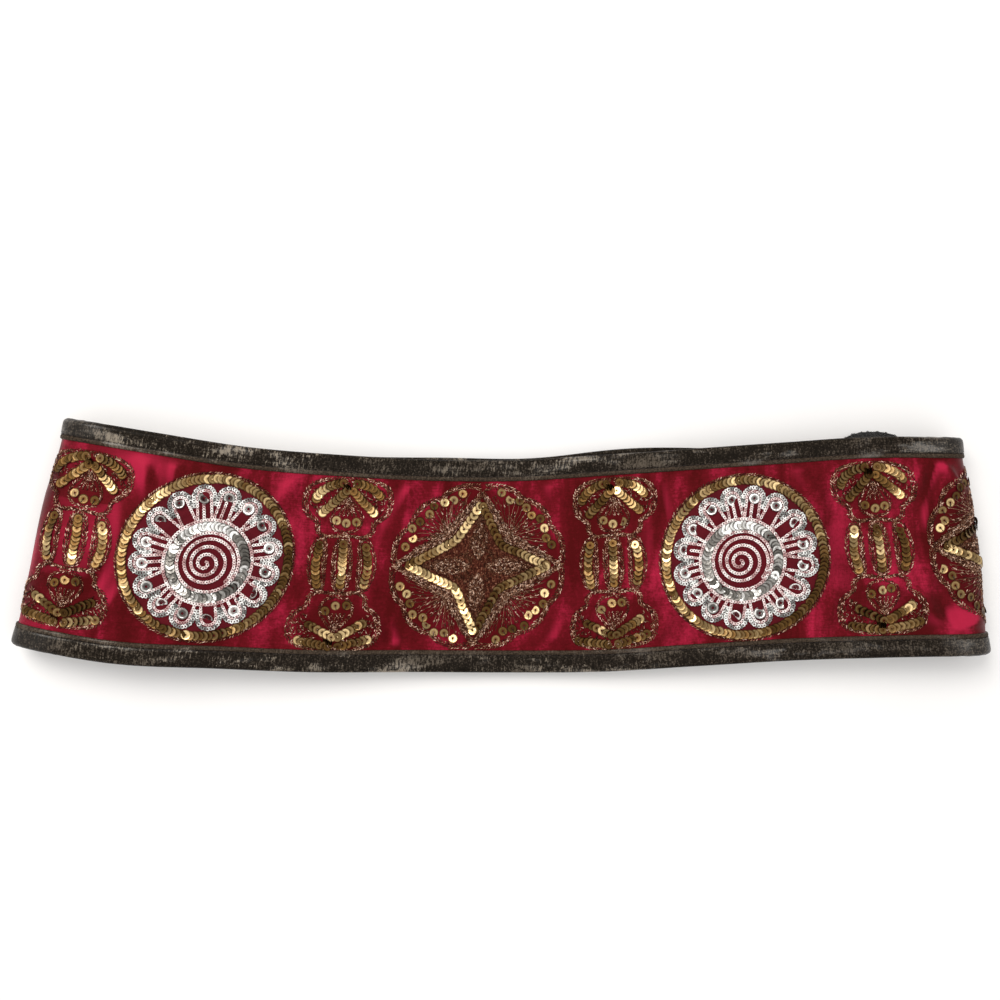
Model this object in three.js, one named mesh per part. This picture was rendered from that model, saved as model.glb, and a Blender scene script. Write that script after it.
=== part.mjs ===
// A wide dance belt of red satin, cut on a curve, bound in brown leather and closed at the back.
// It is modelled lying on a table, closed and pressed flat, so that it shows a front layer over a
// back layer with a rounded fold at each side. Millimetres, +Z up, +X to the right, +Y towards the
// shorter edge, which sits at the waist. The origin is under the middle of the whole belt.
import * as THREE from 'three';

// Cloth and leather
const wall = 1.6; // satin, canvas and lining together
const seamGap = 0.3; // between pieces that are sewn to each other
const leather = 0.9;
const halfStack = wall / 2 + seamGap + leather; // middle of the wall to the outside of the leather
const waistBindingDepth = 9;
const hipBindingDepth = 9.5;
const leatherChamfer = 0.8;
const edgeArcSteps = 4;
const flatTopShare = 0.38; // of the half width between the bindings, on the panel's swell

// Hook-and-loop closure at the back
const tapeStart = 153; // along X, on both ends of the belt
const tapeEnd = 179;
const loopTapeThickness = 1.2;
const hookTapeThickness = 1.0;
const loopTapePeek = 3.2; // the loop tape stands past the waist edge
const tapeInset = 3;

// Where the belt's own middle stands in the plan and course tables below
const originX = 3.53;
const originY = -19.87;

// How far the stations along the belt may lie apart
const longestStep = 14;
const sharpestTurn = 11; // degrees

// The belt seen from above. x is where a rib, a line straight across the belt, crosses the middle
// line, y is the middle line there, lean is how far the rib's waist end leans to the right in
// degrees, and width is the belt's width along the rib.
const plan = [
  { x: -189, y: -13.2, lean: 13.1, width: 96.3 },
  { x: -150, y: -19.9, lean: 11.2, width: 96.5 },
  { x: -112, y: -23.9, lean: 9.2, width: 92.8 },
  { x: -73, y: -26.6, lean: 7.1, width: 91.8 },
  { x: -34, y: -27.9, lean: 5.1, width: 90.5 },
  { x: 5, y: -28.3, lean: 3.0, width: 90.9 },
  { x: 44, y: -27.0, lean: 0.8, width: 92.8 },
  { x: 83, y: -24.4, lean: -1.3, width: 92.6 },
  { x: 122, y: -21.8, lean: -3.4, width: 92.6 },
  { x: 160, y: -20.0, lean: -5.4, width: 93.8 },
  { x: 199, y: -19.7, lean: -7.6, width: 93.5 },
];

// The belt seen from its waist edge: the course of the wall's middle from the outer end, round the
// right fold, over the front, round the left fold and along the back to the inner end, which lies
// on the outer one. heading is the way the course goes there in degrees: 0 along +X, 90 up. swell
// is how far the panel bulges out between its bindings.
const course = [
  { at: 'outer end', x: 142, z: halfStack, heading: 0, swell: 0 },
  { at: 'right fold, foot', x: 191, z: halfStack, heading: 0, swell: 0 },
  { at: 'right fold', x: 202.5, z: 11, heading: 90, swell: 1.3 },
  { at: 'right fold, shoulder', x: 189, z: 20, heading: 183, swell: 1.1 },
  { at: 'over the closure', x: 145, z: 17.8, heading: 184, swell: 0.9 },
  { at: 'right slope', x: 77, z: 11.4, heading: 186, swell: 0.6 },
  { at: 'pinched middle', x: 5, z: 6.5, heading: 180, swell: 0.3 },
  { at: 'left slope', x: -72, z: 13, heading: 172.5, swell: 0.6 },
  { at: 'left fold, shoulder', x: -172, z: 20, heading: 181, swell: 1.1 },
  { at: 'left fold', x: -191, z: 10.5, heading: 270, swell: 1.4 },
  { at: 'left fold, foot', x: -180, z: halfStack, heading: 360, swell: 0 },
  { at: 'foot of the step', x: 102, z: halfStack, heading: 360, swell: 0 },
  { at: 'on the outer end', x: 151, z: 9.1, heading: 360, swell: 0 },
  { at: 'inner end', x: 190, z: 9.1, heading: 360, swell: 0 },
];

// Where the back layer slips past the front one, up towards the waist or down towards the hip
const slips = [
  { x: -25, rise: 1.2, reach: 30 },
  { x: 55, rise: 2.2, reach: 34 },
  { x: 118, rise: -1.4, reach: 30 },
];

// Round applique patches: where their middle is, in x and on the front or back layer
const patches = [
  { name: 'medallion_front_left', x: -122, across: -0.6, layer: 'front', raised: true },
  { name: 'medallion_front_right', x: 103, across: -1.3, layer: 'front', raised: true },
  { name: 'medallion_back', x: -43, across: -0.9, layer: 'back', raised: false },
];
const patchAlong = 34.6;
const patchAcross = 34.2;
const patchThickness = 0.5;
const petals = 16;
const patchSectors = 4 * petals;
const undersideRing = 0.5; // share of the patch where its plain underside follows the panel's swell

// Rings of the raised flower from its rim to its middle: radius as a share of the patch, bulge is
// how much further out the ring runs at the middle of each petal, and rise is its height.
const flowerRings = [
  { ring: 'rim', radius: 1, bulge: 0, rise: 0 },
  { ring: 'outer row, outside', radius: 0.96, bulge: 0, rise: 0.6 },
  { ring: 'outer row, inside', radius: 0.885, bulge: 0, rise: 0.6 },
  { ring: 'behind the petals', radius: 0.74, bulge: 0.125, rise: 0.1 },
  { ring: 'petal edge', radius: 0.71, bulge: 0.125, rise: 0.8 },
  { ring: 'petal foot', radius: 0.56, bulge: 0, rise: 0.6 },
  { ring: 'inner row, outside', radius: 0.5, bulge: 0, rise: 0.7 },
  { ring: 'inner row, inside', radius: 0.39, bulge: 0, rise: 0.7 },
  { ring: 'groove', radius: 0.345, bulge: 0, rise: 0.1 },
  { ring: 'coil', radius: 0.3, bulge: 0, rise: 0.8 },
];
const coilRise = 1;

const colours = {
  satin: { color: 0x8c1420, roughness: 0.45, metalness: 0 },
  leather: { color: 0x2b1d17, roughness: 0.5, metalness: 0 },
  tape: { color: 0x0b0b0c, roughness: 0.95, metalness: 0 },
  applique: { color: 0x5a1420, roughness: 0.6, metalness: 0 },
};

function smoothstep(t) {
  const u = Math.min(Math.max(t, 0), 1);
  return u * u * (3 - 2 * u);
}

// A smooth line through one column of the plan table
function planColumn(column, x) {
  const last = plan.length - 1;
  let i = plan.findIndex((row) => row.x > x) - 1;
  if (i < 0) i = x < plan[0].x ? 0 : last - 1;
  const slope = (k) => {
    const a = plan[Math.max(k - 1, 0)];
    const b = plan[Math.min(k + 1, last)];
    return (b[column] - a[column]) / (b.x - a.x);
  };
  const from = plan[i];
  const to = plan[i + 1];
  const run = to.x - from.x;
  const t = (x - from.x) / run;
  if (t < 0) return from[column] + slope(i) * (x - from.x);
  if (t > 1) return to[column] + slope(i + 1) * (x - to.x);
  const h = t * t * (3 - 2 * t);
  const start = t * (1 - t) * (1 - t) * run;
  const end = t * t * (1 - t) * run;
  return from[column] * (1 - h) + to[column] * h + slope(i) * start - slope(i + 1) * end;
}

// The course as a chain of smooth curves in X and Z
function courseCurves() {
  const path = new THREE.CurvePath();
  for (let i = 0; i + 1 < course.length; i += 1) {
    const from = course[i];
    const to = course[i + 1];
    const chord = Math.hypot(to.x - from.x, to.z - from.z);
    const turn = Math.abs(to.heading - from.heading);
    const handle = chord * (1 / 3 + 0.057 * Math.min(turn / 90, 1));
    const a = THREE.MathUtils.degToRad(from.heading);
    const b = THREE.MathUtils.degToRad(to.heading);
    const curve = new THREE.CubicBezierCurve(
      new THREE.Vector2(from.x, from.z),
      new THREE.Vector2(from.x + handle * Math.cos(a), from.z + handle * Math.sin(a)),
      new THREE.Vector2(to.x - handle * Math.cos(b), to.z - handle * Math.sin(b)),
      new THREE.Vector2(to.x, to.z),
    );
    curve.arcLengthDivisions = 400;
    path.add(curve);
  }
  return path;
}

const coursePath = courseCurves();
const curveEnds = coursePath.getCurveLengths();
const courseLength = curveEnds[curveEnds.length - 1];

// Stations along the belt, closer together where it turns
function courseStations() {
  const stations = [0];
  for (let i = 0; i < curveEnds.length; i += 1) {
    const start = i === 0 ? 0 : curveEnds[i - 1];
    const length = curveEnds[i] - start;
    const turn = Math.abs(course[i + 1].heading - course[i].heading);
    const steps = Math.ceil(Math.max(length / longestStep, turn / sharpestTurn));
    for (let k = 1; k <= steps; k += 1) stations.push(start + (length * k) / steps);
  }
  return stations;
}

// How far the back layer has slipped towards the waist
function slipAt(x, backness) {
  let rise = 0;
  for (const slip of slips) rise += slip.rise * Math.exp(-(((x - slip.x) / slip.reach) ** 2));
  return rise * smoothstep(backness);
}

// A point of the wall's middle: s is the length along the course, v the way across from the middle
// line towards the waist edge
function middlePoint(s, v) {
  const t = s / courseLength;
  const here = coursePath.getPoint(t);
  const ahead = coursePath.getPoint(Math.min(t + 1e-5, 1));
  const behind = coursePath.getPoint(Math.max(t - 1e-5, 0));
  const backness = (ahead.x - behind.x) / Math.hypot(ahead.x - behind.x, ahead.y - behind.y);
  const lean = THREE.MathUtils.degToRad(planColumn('lean', here.x));
  return new THREE.Vector3(
    here.x + v * Math.sin(lean) - originX,
    planColumn('y', here.x) + v * Math.cos(lean) + slipAt(here.x, backness) - originY,
    here.y,
  );
}

// The belt's outer side faces away from the loop
function outwardNormal(s, v) {
  const reach = 0.02;
  const behind = middlePoint(Math.max(s - reach, 0), v);
  const ahead = middlePoint(Math.min(s + reach, courseLength), v);
  const along = ahead.sub(behind);
  const rib = middlePoint(s, v + 1).sub(middlePoint(s, v));
  return rib.cross(along).normalize();
}

function wallPoint(s, v, outward) {
  return middlePoint(s, v).addScaledVector(outwardNormal(s, v), outward);
}

// Half the width of the panel that shows between the bindings, on one side of the middle line
function openHalf(s, side) {
  return halfWidth(s) - (side > 0 ? waistBindingDepth : hipBindingDepth);
}

// How far the panel bulges out at a place, nothing at the bindings
function swellAt(s, v) {
  let row = curveEnds.findIndex((end) => end >= s);
  if (row < 0) row = curveEnds.length - 1;
  const start = row === 0 ? 0 : curveEnds[row - 1];
  const t = smoothstep((s - start) / (curveEnds[row] - start));
  const full = course[row].swell * (1 - t) + course[row + 1].swell * t;
  const share = Math.min(Math.abs(v) / openHalf(s, v), 1);
  return full * (1 - share * share) ** 2;
}

// A point of what is sewn on the panel, or of the panel itself
function panelPoint(s, v, outward) {
  return wallPoint(s, v, outward + swellAt(s, v));
}

function halfWidth(s) {
  return planColumn('width', coursePath.getPoint(s / courseLength).x) / 2;
}

// The length along the course where a layer passes a place in x
function alongAt(x, layer) {
  const last = course.length - 1;
  const rightFold = course.findIndex((row) => row.at === 'right fold');
  const leftFold = course.findIndex((row) => row.at === 'left fold');
  const runs = { outer: [0, rightFold], front: [rightFold, leftFold], back: [leftFold, last] };
  const [first, final] = runs[layer];
  let low = first === 0 ? 0 : curveEnds[first - 1];
  let high = curveEnds[final - 1];
  const rising = layer !== 'front';
  for (let i = 0; i < 40; i += 1) {
    const middle = (low + high) / 2;
    const before = coursePath.getPoint(middle / courseLength).x < x;
    if (before === rising) low = middle;
    else high = middle;
  }
  return (low + high) / 2;
}

function meshFromFaces(name, points, faces, finish) {
  const geometry = new THREE.BufferGeometry();
  const coordinates = points.flatMap((p) => [p.x, p.y, p.z]);
  geometry.setAttribute('position', new THREE.Float32BufferAttribute(coordinates, 3));
  geometry.setIndex(faces.flat());
  geometry.computeVertexNormals();
  const mesh = new THREE.Mesh(geometry, new THREE.MeshStandardMaterial(finish));
  mesh.name = name;
  return mesh;
}

// A closed body swept along the belt. section(s) gives its outline at a station as pairs of v and
// outward height, anticlockwise for an eye that looks along the belt's course. caps lists the
// outline's points in groups of three that close each end.
function sweep(name, stations, section, caps, finish, place = wallPoint) {
  const points = [];
  const faces = [];
  const outlines = stations.map(section);
  const count = outlines[0].length;
  stations.forEach((s, i) => {
    for (const [v, outward] of outlines[i]) points.push(place(s, v, outward));
  });
  for (let i = 0; i + 1 < stations.length; i += 1) {
    for (let k = 0; k < count; k += 1) {
      const next = (k + 1) % count;
      const a = i * count + k;
      const b = i * count + next;
      faces.push([a, b + count, b], [a, a + count, b + count]);
    }
  }
  const end = (stations.length - 1) * count;
  for (const [a, b, c] of caps) faces.push([a, b, c], [end + c, end + b, end + a]);
  return meshFromFaces(name, points, faces, finish);
}

// Caps for an outline of two facing rows with the same number of points
function facingRowCaps(perRow) {
  const caps = [];
  for (let k = 0; k + 1 < perRow; k += 1) {
    const far = 2 * perRow - 1 - k;
    caps.push([k, k + 1, far], [k + 1, far - 1, far]);
  }
  return caps;
}

// An outline of two facing rows, at the same places across the belt
function slabSection(places, inner, outer) {
  const below = places.map((v) => [v, inner]);
  const above = places.map((v) => [v, outer]);
  return [...below, ...above.reverse()];
}

function facePanel(stations) {
  const edge = leather + seamGap;
  const section = (s) => {
    const reach = halfWidth(s) - edge;
    const hip = openHalf(s, -1);
    const waist = openHalf(s, 1);
    const places = [-reach, -hip, -hip * flatTopShare, waist * flatTopShare, waist, reach];
    return slabSection(places, -wall / 2, wall / 2);
  };
  return sweep('face_panel', stations, section, facingRowCaps(6), colours.satin, panelPoint);
}

// A leather strip folded over one edge of the panel. side is 1 at the waist and -1 at the hip.
function binding(name, stations, side, depth) {
  const inside = wall / 2 + seamGap;
  const section = (s) => {
    const edge = halfWidth(s);
    const inner = [];
    const outer = [];
    const legEnd = edge - depth;
    outer.push([legEnd, -inside - leather / 2], [legEnd + leatherChamfer, -halfStack]);
    inner.push([legEnd, -inside]);
    for (let k = 0; k <= edgeArcSteps; k += 1) {
      const angle = Math.PI * (k / edgeArcSteps - 0.5);
      outer.push([edge - halfStack + halfStack * Math.cos(angle), halfStack * Math.sin(angle)]);
      if (k > 0 && k < edgeArcSteps) continue;
      inner.push([edge - leather, inside * Math.sign(angle)]);
    }
    outer.push([legEnd + leatherChamfer, halfStack], [legEnd, inside + leather / 2]);
    inner.push([legEnd, inside]);
    const outline = [...outer, ...inner.reverse()];
    return side > 0 ? outline : outline.map(([v, h]) => [-v, h]).reverse();
  };
  const outline = section(stations[0]).map(([v, h]) => new THREE.Vector2(v, h));
  const caps = THREE.ShapeUtils.triangulateShape(outline, []);
  return sweep(name, stations, section, caps, colours.leather);
}

function closureTape(name, layer, inner, outer, waistReach) {
  const from = alongAt(tapeStart, layer);
  const to = alongAt(tapeEnd, layer);
  const section = (s) => {
    const edge = halfWidth(s);
    return slabSection([-edge + tapeInset, edge + waistReach], inner, outer);
  };
  return sweep(name, [from, (from + to) / 2, to], section, facingRowCaps(2), colours.tape);
}

// A round patch, either plain or with its flower raised in the outer face
function patch({ name, x, across, layer, raised }) {
  const middle = alongAt(x, layer);
  const base = wall / 2 + seamGap;
  const rings = raised ? flowerRings : flowerRings.slice(0, 1);
  const points = [];
  const faces = [];
  const ringPoints = (radius, bulge, height) => {
    for (let k = 0; k < patchSectors; k += 1) {
      const angle = (2 * Math.PI * k) / patchSectors;
      const swell = Math.abs(Math.sin((petals / 2) * angle));
      const r = radius + bulge * swell;
      const s = middle + patchAlong * r * Math.cos(angle);
      points.push(panelPoint(s, across + patchAcross * r * Math.sin(angle), height));
    }
  };
  ringPoints(undersideRing, 0, base);
  ringPoints(1, 0, base);
  for (const { radius, bulge, rise } of rings) {
    ringPoints(radius, bulge, base + patchThickness + rise);
  }
  const ringGaps = rings.length + 1;
  for (let ring = 0; ring < ringGaps; ring += 1) {
    for (let k = 0; k < patchSectors; k += 1) {
      const a = ring * patchSectors + k;
      const b = ring * patchSectors + ((k + 1) % patchSectors);
      faces.push([a, b + patchSectors, b], [a, a + patchSectors, b + patchSectors]);
    }
  }
  const top = points.length;
  const topRise = raised ? coilRise : 0;
  points.push(panelPoint(middle, across, base + patchThickness + topRise));
  points.push(panelPoint(middle, across, base));
  const lastRing = ringGaps * patchSectors;
  for (let k = 0; k < patchSectors; k += 1) {
    const next = (k + 1) % patchSectors;
    faces.push([lastRing + k, top, lastRing + next], [k, next, top + 1]);
  }
  return meshFromFaces(name, points, faces, colours.applique);
}

const stations = courseStations();
const belt = new THREE.Group();
belt.name = 'sequin_belt';
belt.add(facePanel(stations));
belt.add(binding('binding_waist', stations, 1, waistBindingDepth));
belt.add(binding('binding_hip', stations, -1, hipBindingDepth));
const tapeFoot = halfStack + seamGap;
const loopFace = -tapeFoot - loopTapeThickness;
belt.add(closureTape('loop_tape', 'outer', loopFace, -tapeFoot, loopTapePeek));
const hookFace = tapeFoot + hookTapeThickness;
belt.add(closureTape('hook_tape', 'back', tapeFoot, hookFace, -tapeInset));
for (const row of patches) belt.add(patch(row));

export default belt;
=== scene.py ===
"""Dresses a flattened dance belt: satin, worn leather, applique, sequins, metal cords and stage."""

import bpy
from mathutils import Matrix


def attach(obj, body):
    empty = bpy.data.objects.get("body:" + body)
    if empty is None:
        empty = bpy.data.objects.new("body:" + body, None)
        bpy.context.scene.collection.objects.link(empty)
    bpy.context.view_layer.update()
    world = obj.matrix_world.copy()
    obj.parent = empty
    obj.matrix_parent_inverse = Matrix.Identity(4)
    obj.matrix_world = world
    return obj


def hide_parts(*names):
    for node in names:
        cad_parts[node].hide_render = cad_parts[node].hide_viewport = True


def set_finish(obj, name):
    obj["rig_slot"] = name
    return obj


bl_info = {
    "name": "Sequin belt",
    "version": (1, 0, 0),
    "blender": (4, 5, 0),
    "location": "View3D > Sidebar > Sequin belt",
    "description": "Makes the cloth, leather, sequins and metal embroidery of a flattened belt",
    "category": "Add Mesh",
}

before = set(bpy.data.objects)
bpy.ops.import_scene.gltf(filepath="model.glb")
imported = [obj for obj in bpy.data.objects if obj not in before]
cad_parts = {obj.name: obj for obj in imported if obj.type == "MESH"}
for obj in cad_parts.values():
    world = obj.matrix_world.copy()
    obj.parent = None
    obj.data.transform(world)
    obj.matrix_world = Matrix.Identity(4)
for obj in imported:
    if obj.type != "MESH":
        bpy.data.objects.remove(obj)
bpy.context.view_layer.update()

import math

import bpy
import numpy as np
from bpy.props import FloatProperty, FloatVectorProperty, PointerProperty

MM = 0.001
# The least height over the table of what is sewn on
LEAST_LIFT = 0.03 * MM

# The belt's build, in millimetres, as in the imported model
WALL = 1.6
PANEL_WIDTH = 92
SEAM_GAP = 0.3
LEATHER = 0.9
HALF_STACK = WALL / 2 + SEAM_GAP + LEATHER
WAIST_BINDING = 9.0
HIP_BINDING = 9.5
LOOP_TAPE_PEEK = 3.2
TAPE_INSET = 3.0
TAPE_BASE = 0.5
TAPE_X = (153.0, 179.0)
ORIGIN = (3.53, -19.87)

# The belt from above: x, middle line y, lean of the ribs in degrees, width
PLAN = np.array([
    (-189, -13.2, 13.1, 96.3),
    (-150, -19.9, 11.2, 96.5),
    (-112, -23.9, 9.2, 92.8),
    (-73, -26.6, 7.1, 91.8),
    (-34, -27.9, 5.1, 90.5),
    (5, -28.3, 3.0, 90.9),
    (44, -27.0, 0.8, 92.8),
    (83, -24.4, -1.3, 92.6),
    (122, -21.8, -3.4, 92.6),
    (160, -20.0, -5.4, 93.8),
    (199, -19.7, -7.6, 93.5),
])

# The belt's course seen from its waist edge: x, z, heading in degrees, swell of the panel
COURSE = np.array([
    (142, HALF_STACK, 0, 0),
    (191, HALF_STACK, 0, 0),
    (202.5, 11, 90, 1.3),
    (189, 20, 183, 1.1),
    (145, 17.8, 184, 0.9),
    (77, 11.4, 186, 0.6),
    (5, 6.5, 180, 0.3),
    (-72, 13, 172.5, 0.6),
    (-172, 20, 181, 1.1),
    (-191, 10.5, 270, 1.4),
    (-180, HALF_STACK, 360, 0),
    (102, HALF_STACK, 360, 0),
    (151, 9.1, 360, 0),
    (190, 9.1, 360, 0),
])
RIGHT_FOLD_ROW = 2
LEFT_FOLD_ROW = 9

# Where the back layer slips: x, rise towards the waist, reach
SLIPS = ((-25, 1.2, 30), (55, 2.2, 34), (118, -1.4, 30))

# Each medallion: where it stands along the belt and across it, how much duller its rim of sequins is painted
# on the right, away from the light, than on the left, and how far its inner rings lie off its middle
MEDALLIONS = {
    "medallion_front_right": (169.6, -1.3, 0.10, (-1.0, -1.2)),
    "medallion_front_left": (395.6, -0.6, 0.25, (1.2, -1.9)),
    "medallion_back": (621.5, -0.9, 0.25, (1.2, -1.9)),
}

# Where the other motifs stand along the belt
STARS = (55.5, 282.8, 508.6, 734.5)
COLUMNS = (113.3, 225.0, 340.5, 448.0, 565.0, 678.0, 790.5)


def smoothstep(t):
    """From 0 to 1 with a soft start and end"""
    u = np.clip(t, 0.0, 1.0)
    return u * u * (3 - 2 * u)


class BeltSurface:
    """Turns a place along (s) and across (v) the belt, and a height off it, into a point."""

    def __init__(self):
        starts = COURSE[:-1]
        ends = COURSE[1:]
        chord = np.hypot(ends[:, 0] - starts[:, 0], ends[:, 1] - starts[:, 1])
        turn = np.abs(ends[:, 2] - starts[:, 2])
        handle = chord * (1 / 3 + 0.057 * np.minimum(turn / 90, 1))
        a = np.radians(starts[:, 2])
        b = np.radians(ends[:, 2])
        first = starts[:, :2]
        last = ends[:, :2]
        leave = first + handle[:, None] * np.stack([np.cos(a), np.sin(a)], 1)
        arrive = last - handle[:, None] * np.stack([np.cos(b), np.sin(b)], 1)
        self.handles = np.stack([first, leave, arrive, last], 1)
        self.t = np.linspace(0, 1, 401)
        self.lengths = []
        for row in range(len(starts)):
            points = self.bezier(np.full(self.t.shape, row), self.t)
            steps = np.hypot(*np.diff(points, axis=0).T)
            self.lengths.append(np.concatenate([[0], np.cumsum(steps)]))
        self.ends = np.cumsum([table[-1] for table in self.lengths])
        self.length = self.ends[-1]

    def bezier(self, row, t):
        p = self.handles[row]
        u = 1 - t
        weights = np.stack([u ** 3, 3 * u * u * t, 3 * u * t * t, t ** 3], 1)
        return np.einsum("nk,nkc->nc", weights, p)

    def segment(self, s):
        """Places kept within the belt's length, and the row of the course that each is in"""
        inside = np.clip(s, 0, self.length)
        return inside, np.minimum(np.searchsorted(self.ends, inside), len(self.ends) - 1)

    def course(self, s):
        """X and Z of the wall's middle, for an array of places along the belt"""
        inside, row = self.segment(s)
        t = np.empty_like(inside)
        for k, table in enumerate(self.lengths):
            here = row == k
            t[here] = np.interp(inside[here] - (self.ends[k] - table[-1]), table, self.t)
        points = self.bezier(row, t)
        points[:, 0] += s - inside
        return points

    def plan(self, column, x):
        """A smooth line through one column of the plan table, at each x"""
        last = len(PLAN) - 1
        i = np.clip(np.searchsorted(PLAN[:, 0], x, side="right") - 1, 0, last - 1)
        before = np.maximum(np.arange(last + 1) - 1, 0)
        after = np.minimum(np.arange(last + 1) + 1, last)
        values = PLAN[:, column]
        slope = (values[after] - values[before]) / (PLAN[after, 0] - PLAN[before, 0])
        run = PLAN[i + 1, 0] - PLAN[i, 0]
        t = (x - PLAN[i, 0]) / run
        inside = np.clip(t, 0, 1)
        h = smoothstep(inside)
        rise = slope[i] * inside * (1 - inside) ** 2 * run
        fall = slope[i + 1] * inside ** 2 * (1 - inside) * run
        line = values[i] * (1 - h) + values[i + 1] * h + rise - fall
        line = line + np.where(t < 0, slope[i] * (x - PLAN[i, 0]), 0)
        return line + np.where(t > 1, slope[i + 1] * (x - PLAN[i + 1, 0]), 0)

    def half_width(self, s):
        return self.plan(3, self.course(s)[:, 0]) / 2

    def middle(self, s, v):
        """A point of the wall's middle, in millimetres"""
        reach = 0.0086
        here = self.course(s)
        along = self.course(s + reach) - self.course(s - reach)
        backness = along[:, 0] / np.hypot(along[:, 0], along[:, 1])
        x = here[:, 0]
        lean = np.radians(self.plan(2, x))
        slip = sum(rise * np.exp(-(((x - at) / wide) ** 2)) for at, rise, wide in SLIPS)
        y = self.plan(1, x) + v * np.cos(lean) + slip * smoothstep(backness)
        return np.stack([x + v * np.sin(lean) - ORIGIN[0], y - ORIGIN[1], here[:, 1]], 1)

    def normal(self, s, v):
        """Which way the outer face looks"""
        reach = 0.02
        along = self.middle(s + reach, v) - self.middle(s - reach, v)
        rib = self.middle(s, v + 1) - self.middle(s, v)
        n = np.cross(rib, along)
        return n / np.linalg.norm(n, axis=1, keepdims=True)

    def open_half(self, s, v):
        """From the belt's middle line to the binding on one side of it"""
        return self.half_width(s) - np.where(v > 0, WAIST_BINDING, HIP_BINDING)

    def swell(self, s, v):
        """How far the panel bulges outwards between its bindings"""
        inside, row = self.segment(s)
        starts = np.concatenate([[0], self.ends[:-1]])
        t = smoothstep((inside - starts[row]) / (self.ends[row] - starts[row]))
        full = COURSE[row, 3] * (1 - t) + COURSE[row + 1, 3] * t
        share = np.minimum(np.abs(v) / self.open_half(s, v), 1)
        return full * (1 - share ** 2) ** 2

    def point(self, s, v, height):
        """A point off the wall's middle, in metres"""
        s, v, height = (np.array(a, float) for a in np.broadcast_arrays(s, v, height))
        return (self.middle(s, v) + self.normal(s, v) * height[:, None]) * MM

    def on_panel(self, s, v, height):
        """A point a height over the panel's outer face, in metres"""
        s, v, height = (np.array(a, float) for a in np.broadcast_arrays(s, v, height))
        lift = WALL / 2 + self.swell(s, v) + panel_relief(s, v)
        return self.point(s, v, height * self.pressed(s) + lift)

    def pressed(self, s):
        """How flat the embroidery is pressed where the belt lies on the table"""
        return 1 - 0.5 * self.rests(s)

    def frames(self, s, v):
        """Unit vectors to the right along the belt, up across it, and out of it"""
        reach = 0.5
        right = self.middle(s - reach, v) - self.middle(s + reach, v)
        right = right / np.linalg.norm(right, axis=1, keepdims=True)
        out = self.normal(s, v)
        up = np.cross(out, right)
        return right, up / np.linalg.norm(up, axis=1, keepdims=True), out

    def along_at(self, x, layer):
        """How far along its course a layer passes a place in x"""
        fold_right = self.ends[RIGHT_FOLD_ROW - 1]
        fold_left = self.ends[LEFT_FOLD_ROW - 1]
        spans = {"outer": (0, fold_right), "back": (fold_left, self.length)}
        s = np.linspace(*spans[layer], 4000)
        return float(np.interp(x, self.course(s)[:, 0], s))

    def rests(self, s):
        """1 where the belt's outer face lies on the table, 0 elsewhere"""
        z = self.course(s)[:, 1]
        lying = (s < self.ends[RIGHT_FOLD_ROW - 1]) | (s > self.ends[LEFT_FOLD_ROW])
        return np.where(lying, 1 - smoothstep((z - HALF_STACK - 0.4) / 2.0), 0.0)


# Creases of the satin: place along and across, length, width, depth, angle in degrees
CREASES = (
    (425, 29, 16, 4.5, 0.50, 65), (420, 22, 14, 3.5, -0.35, 72), (414, 33, 12, 3.5, 0.30, 80),
    (366, 30, 15, 5.0, 0.40, 115), (360, -30, 15, 5.0, -0.40, 60), (366, -33, 14, 4.0, 0.40, 48),
    (430, -27, 16, 4.5, 0.45, 110), (437, -18, 14, 4.0, -0.30, 105), (322, -28, 12, 4.0, 0.45, 75),
    (317, -31, 12, 3.5, -0.40, 68), (326, 22, 12, 4.0, -0.30, 100), (315, 31, 12, 4.0, 0.35, 110),
    (252, 33, 12, 4.0, 0.30, 70), (247, -31, 12, 4.5, 0.35, 110), (205, -31, 14, 4.0, 0.40, 115),
    (204, 25, 16, 4.0, -0.30, 80), (207, 5, 22, 5.0, 0.25, 88), (140, 27, 16, 5.0, 0.40, 60),
    (136, -26, 16, 5.0, 0.45, 115), (132, 10, 20, 4.5, -0.25, 92), (94, 26, 14, 4.5, 0.50, 125),
    (88, 31, 12, 3.5, -0.40, 118), (95, -24, 18, 5.0, 0.60, 55), (88, -29, 14, 4.0, -0.40, 50),
    (98, 3, 18, 4.5, 0.25, 85), (362, 6, 22, 5.0, 0.30, 95), (431, 8, 22, 5.0, 0.30, 78),
    (470, 20, 16, 4.0, 0.30, 80), (468, -15, 20, 4.5, -0.25, 95), (68, 24, 14, 4.0, 0.35, 100),
    (78, -37, 12, 7.0, 0.90, 120), (80, 33, 11, 3.2, 0.80, 45), (74, 30, 9, 3.0, -0.50, 45),
    (91, 12, 12, 4.0, 0.35, 100), (92, -8, 20, 5.0, 0.45, 100), (146, 6, 22, 5.0, 0.30, 85),
    (326, -4, 18, 4.5, 0.30, 95), (199, -20, 12, 4.0, 0.30, 75),
)


# How far along the belt the creases stand again, after the first only on the hidden side
CREASE_STEPS = (0.0, 226.0, -226.0, 452.0)
FRONT_SPAN = (60, 480)


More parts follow.
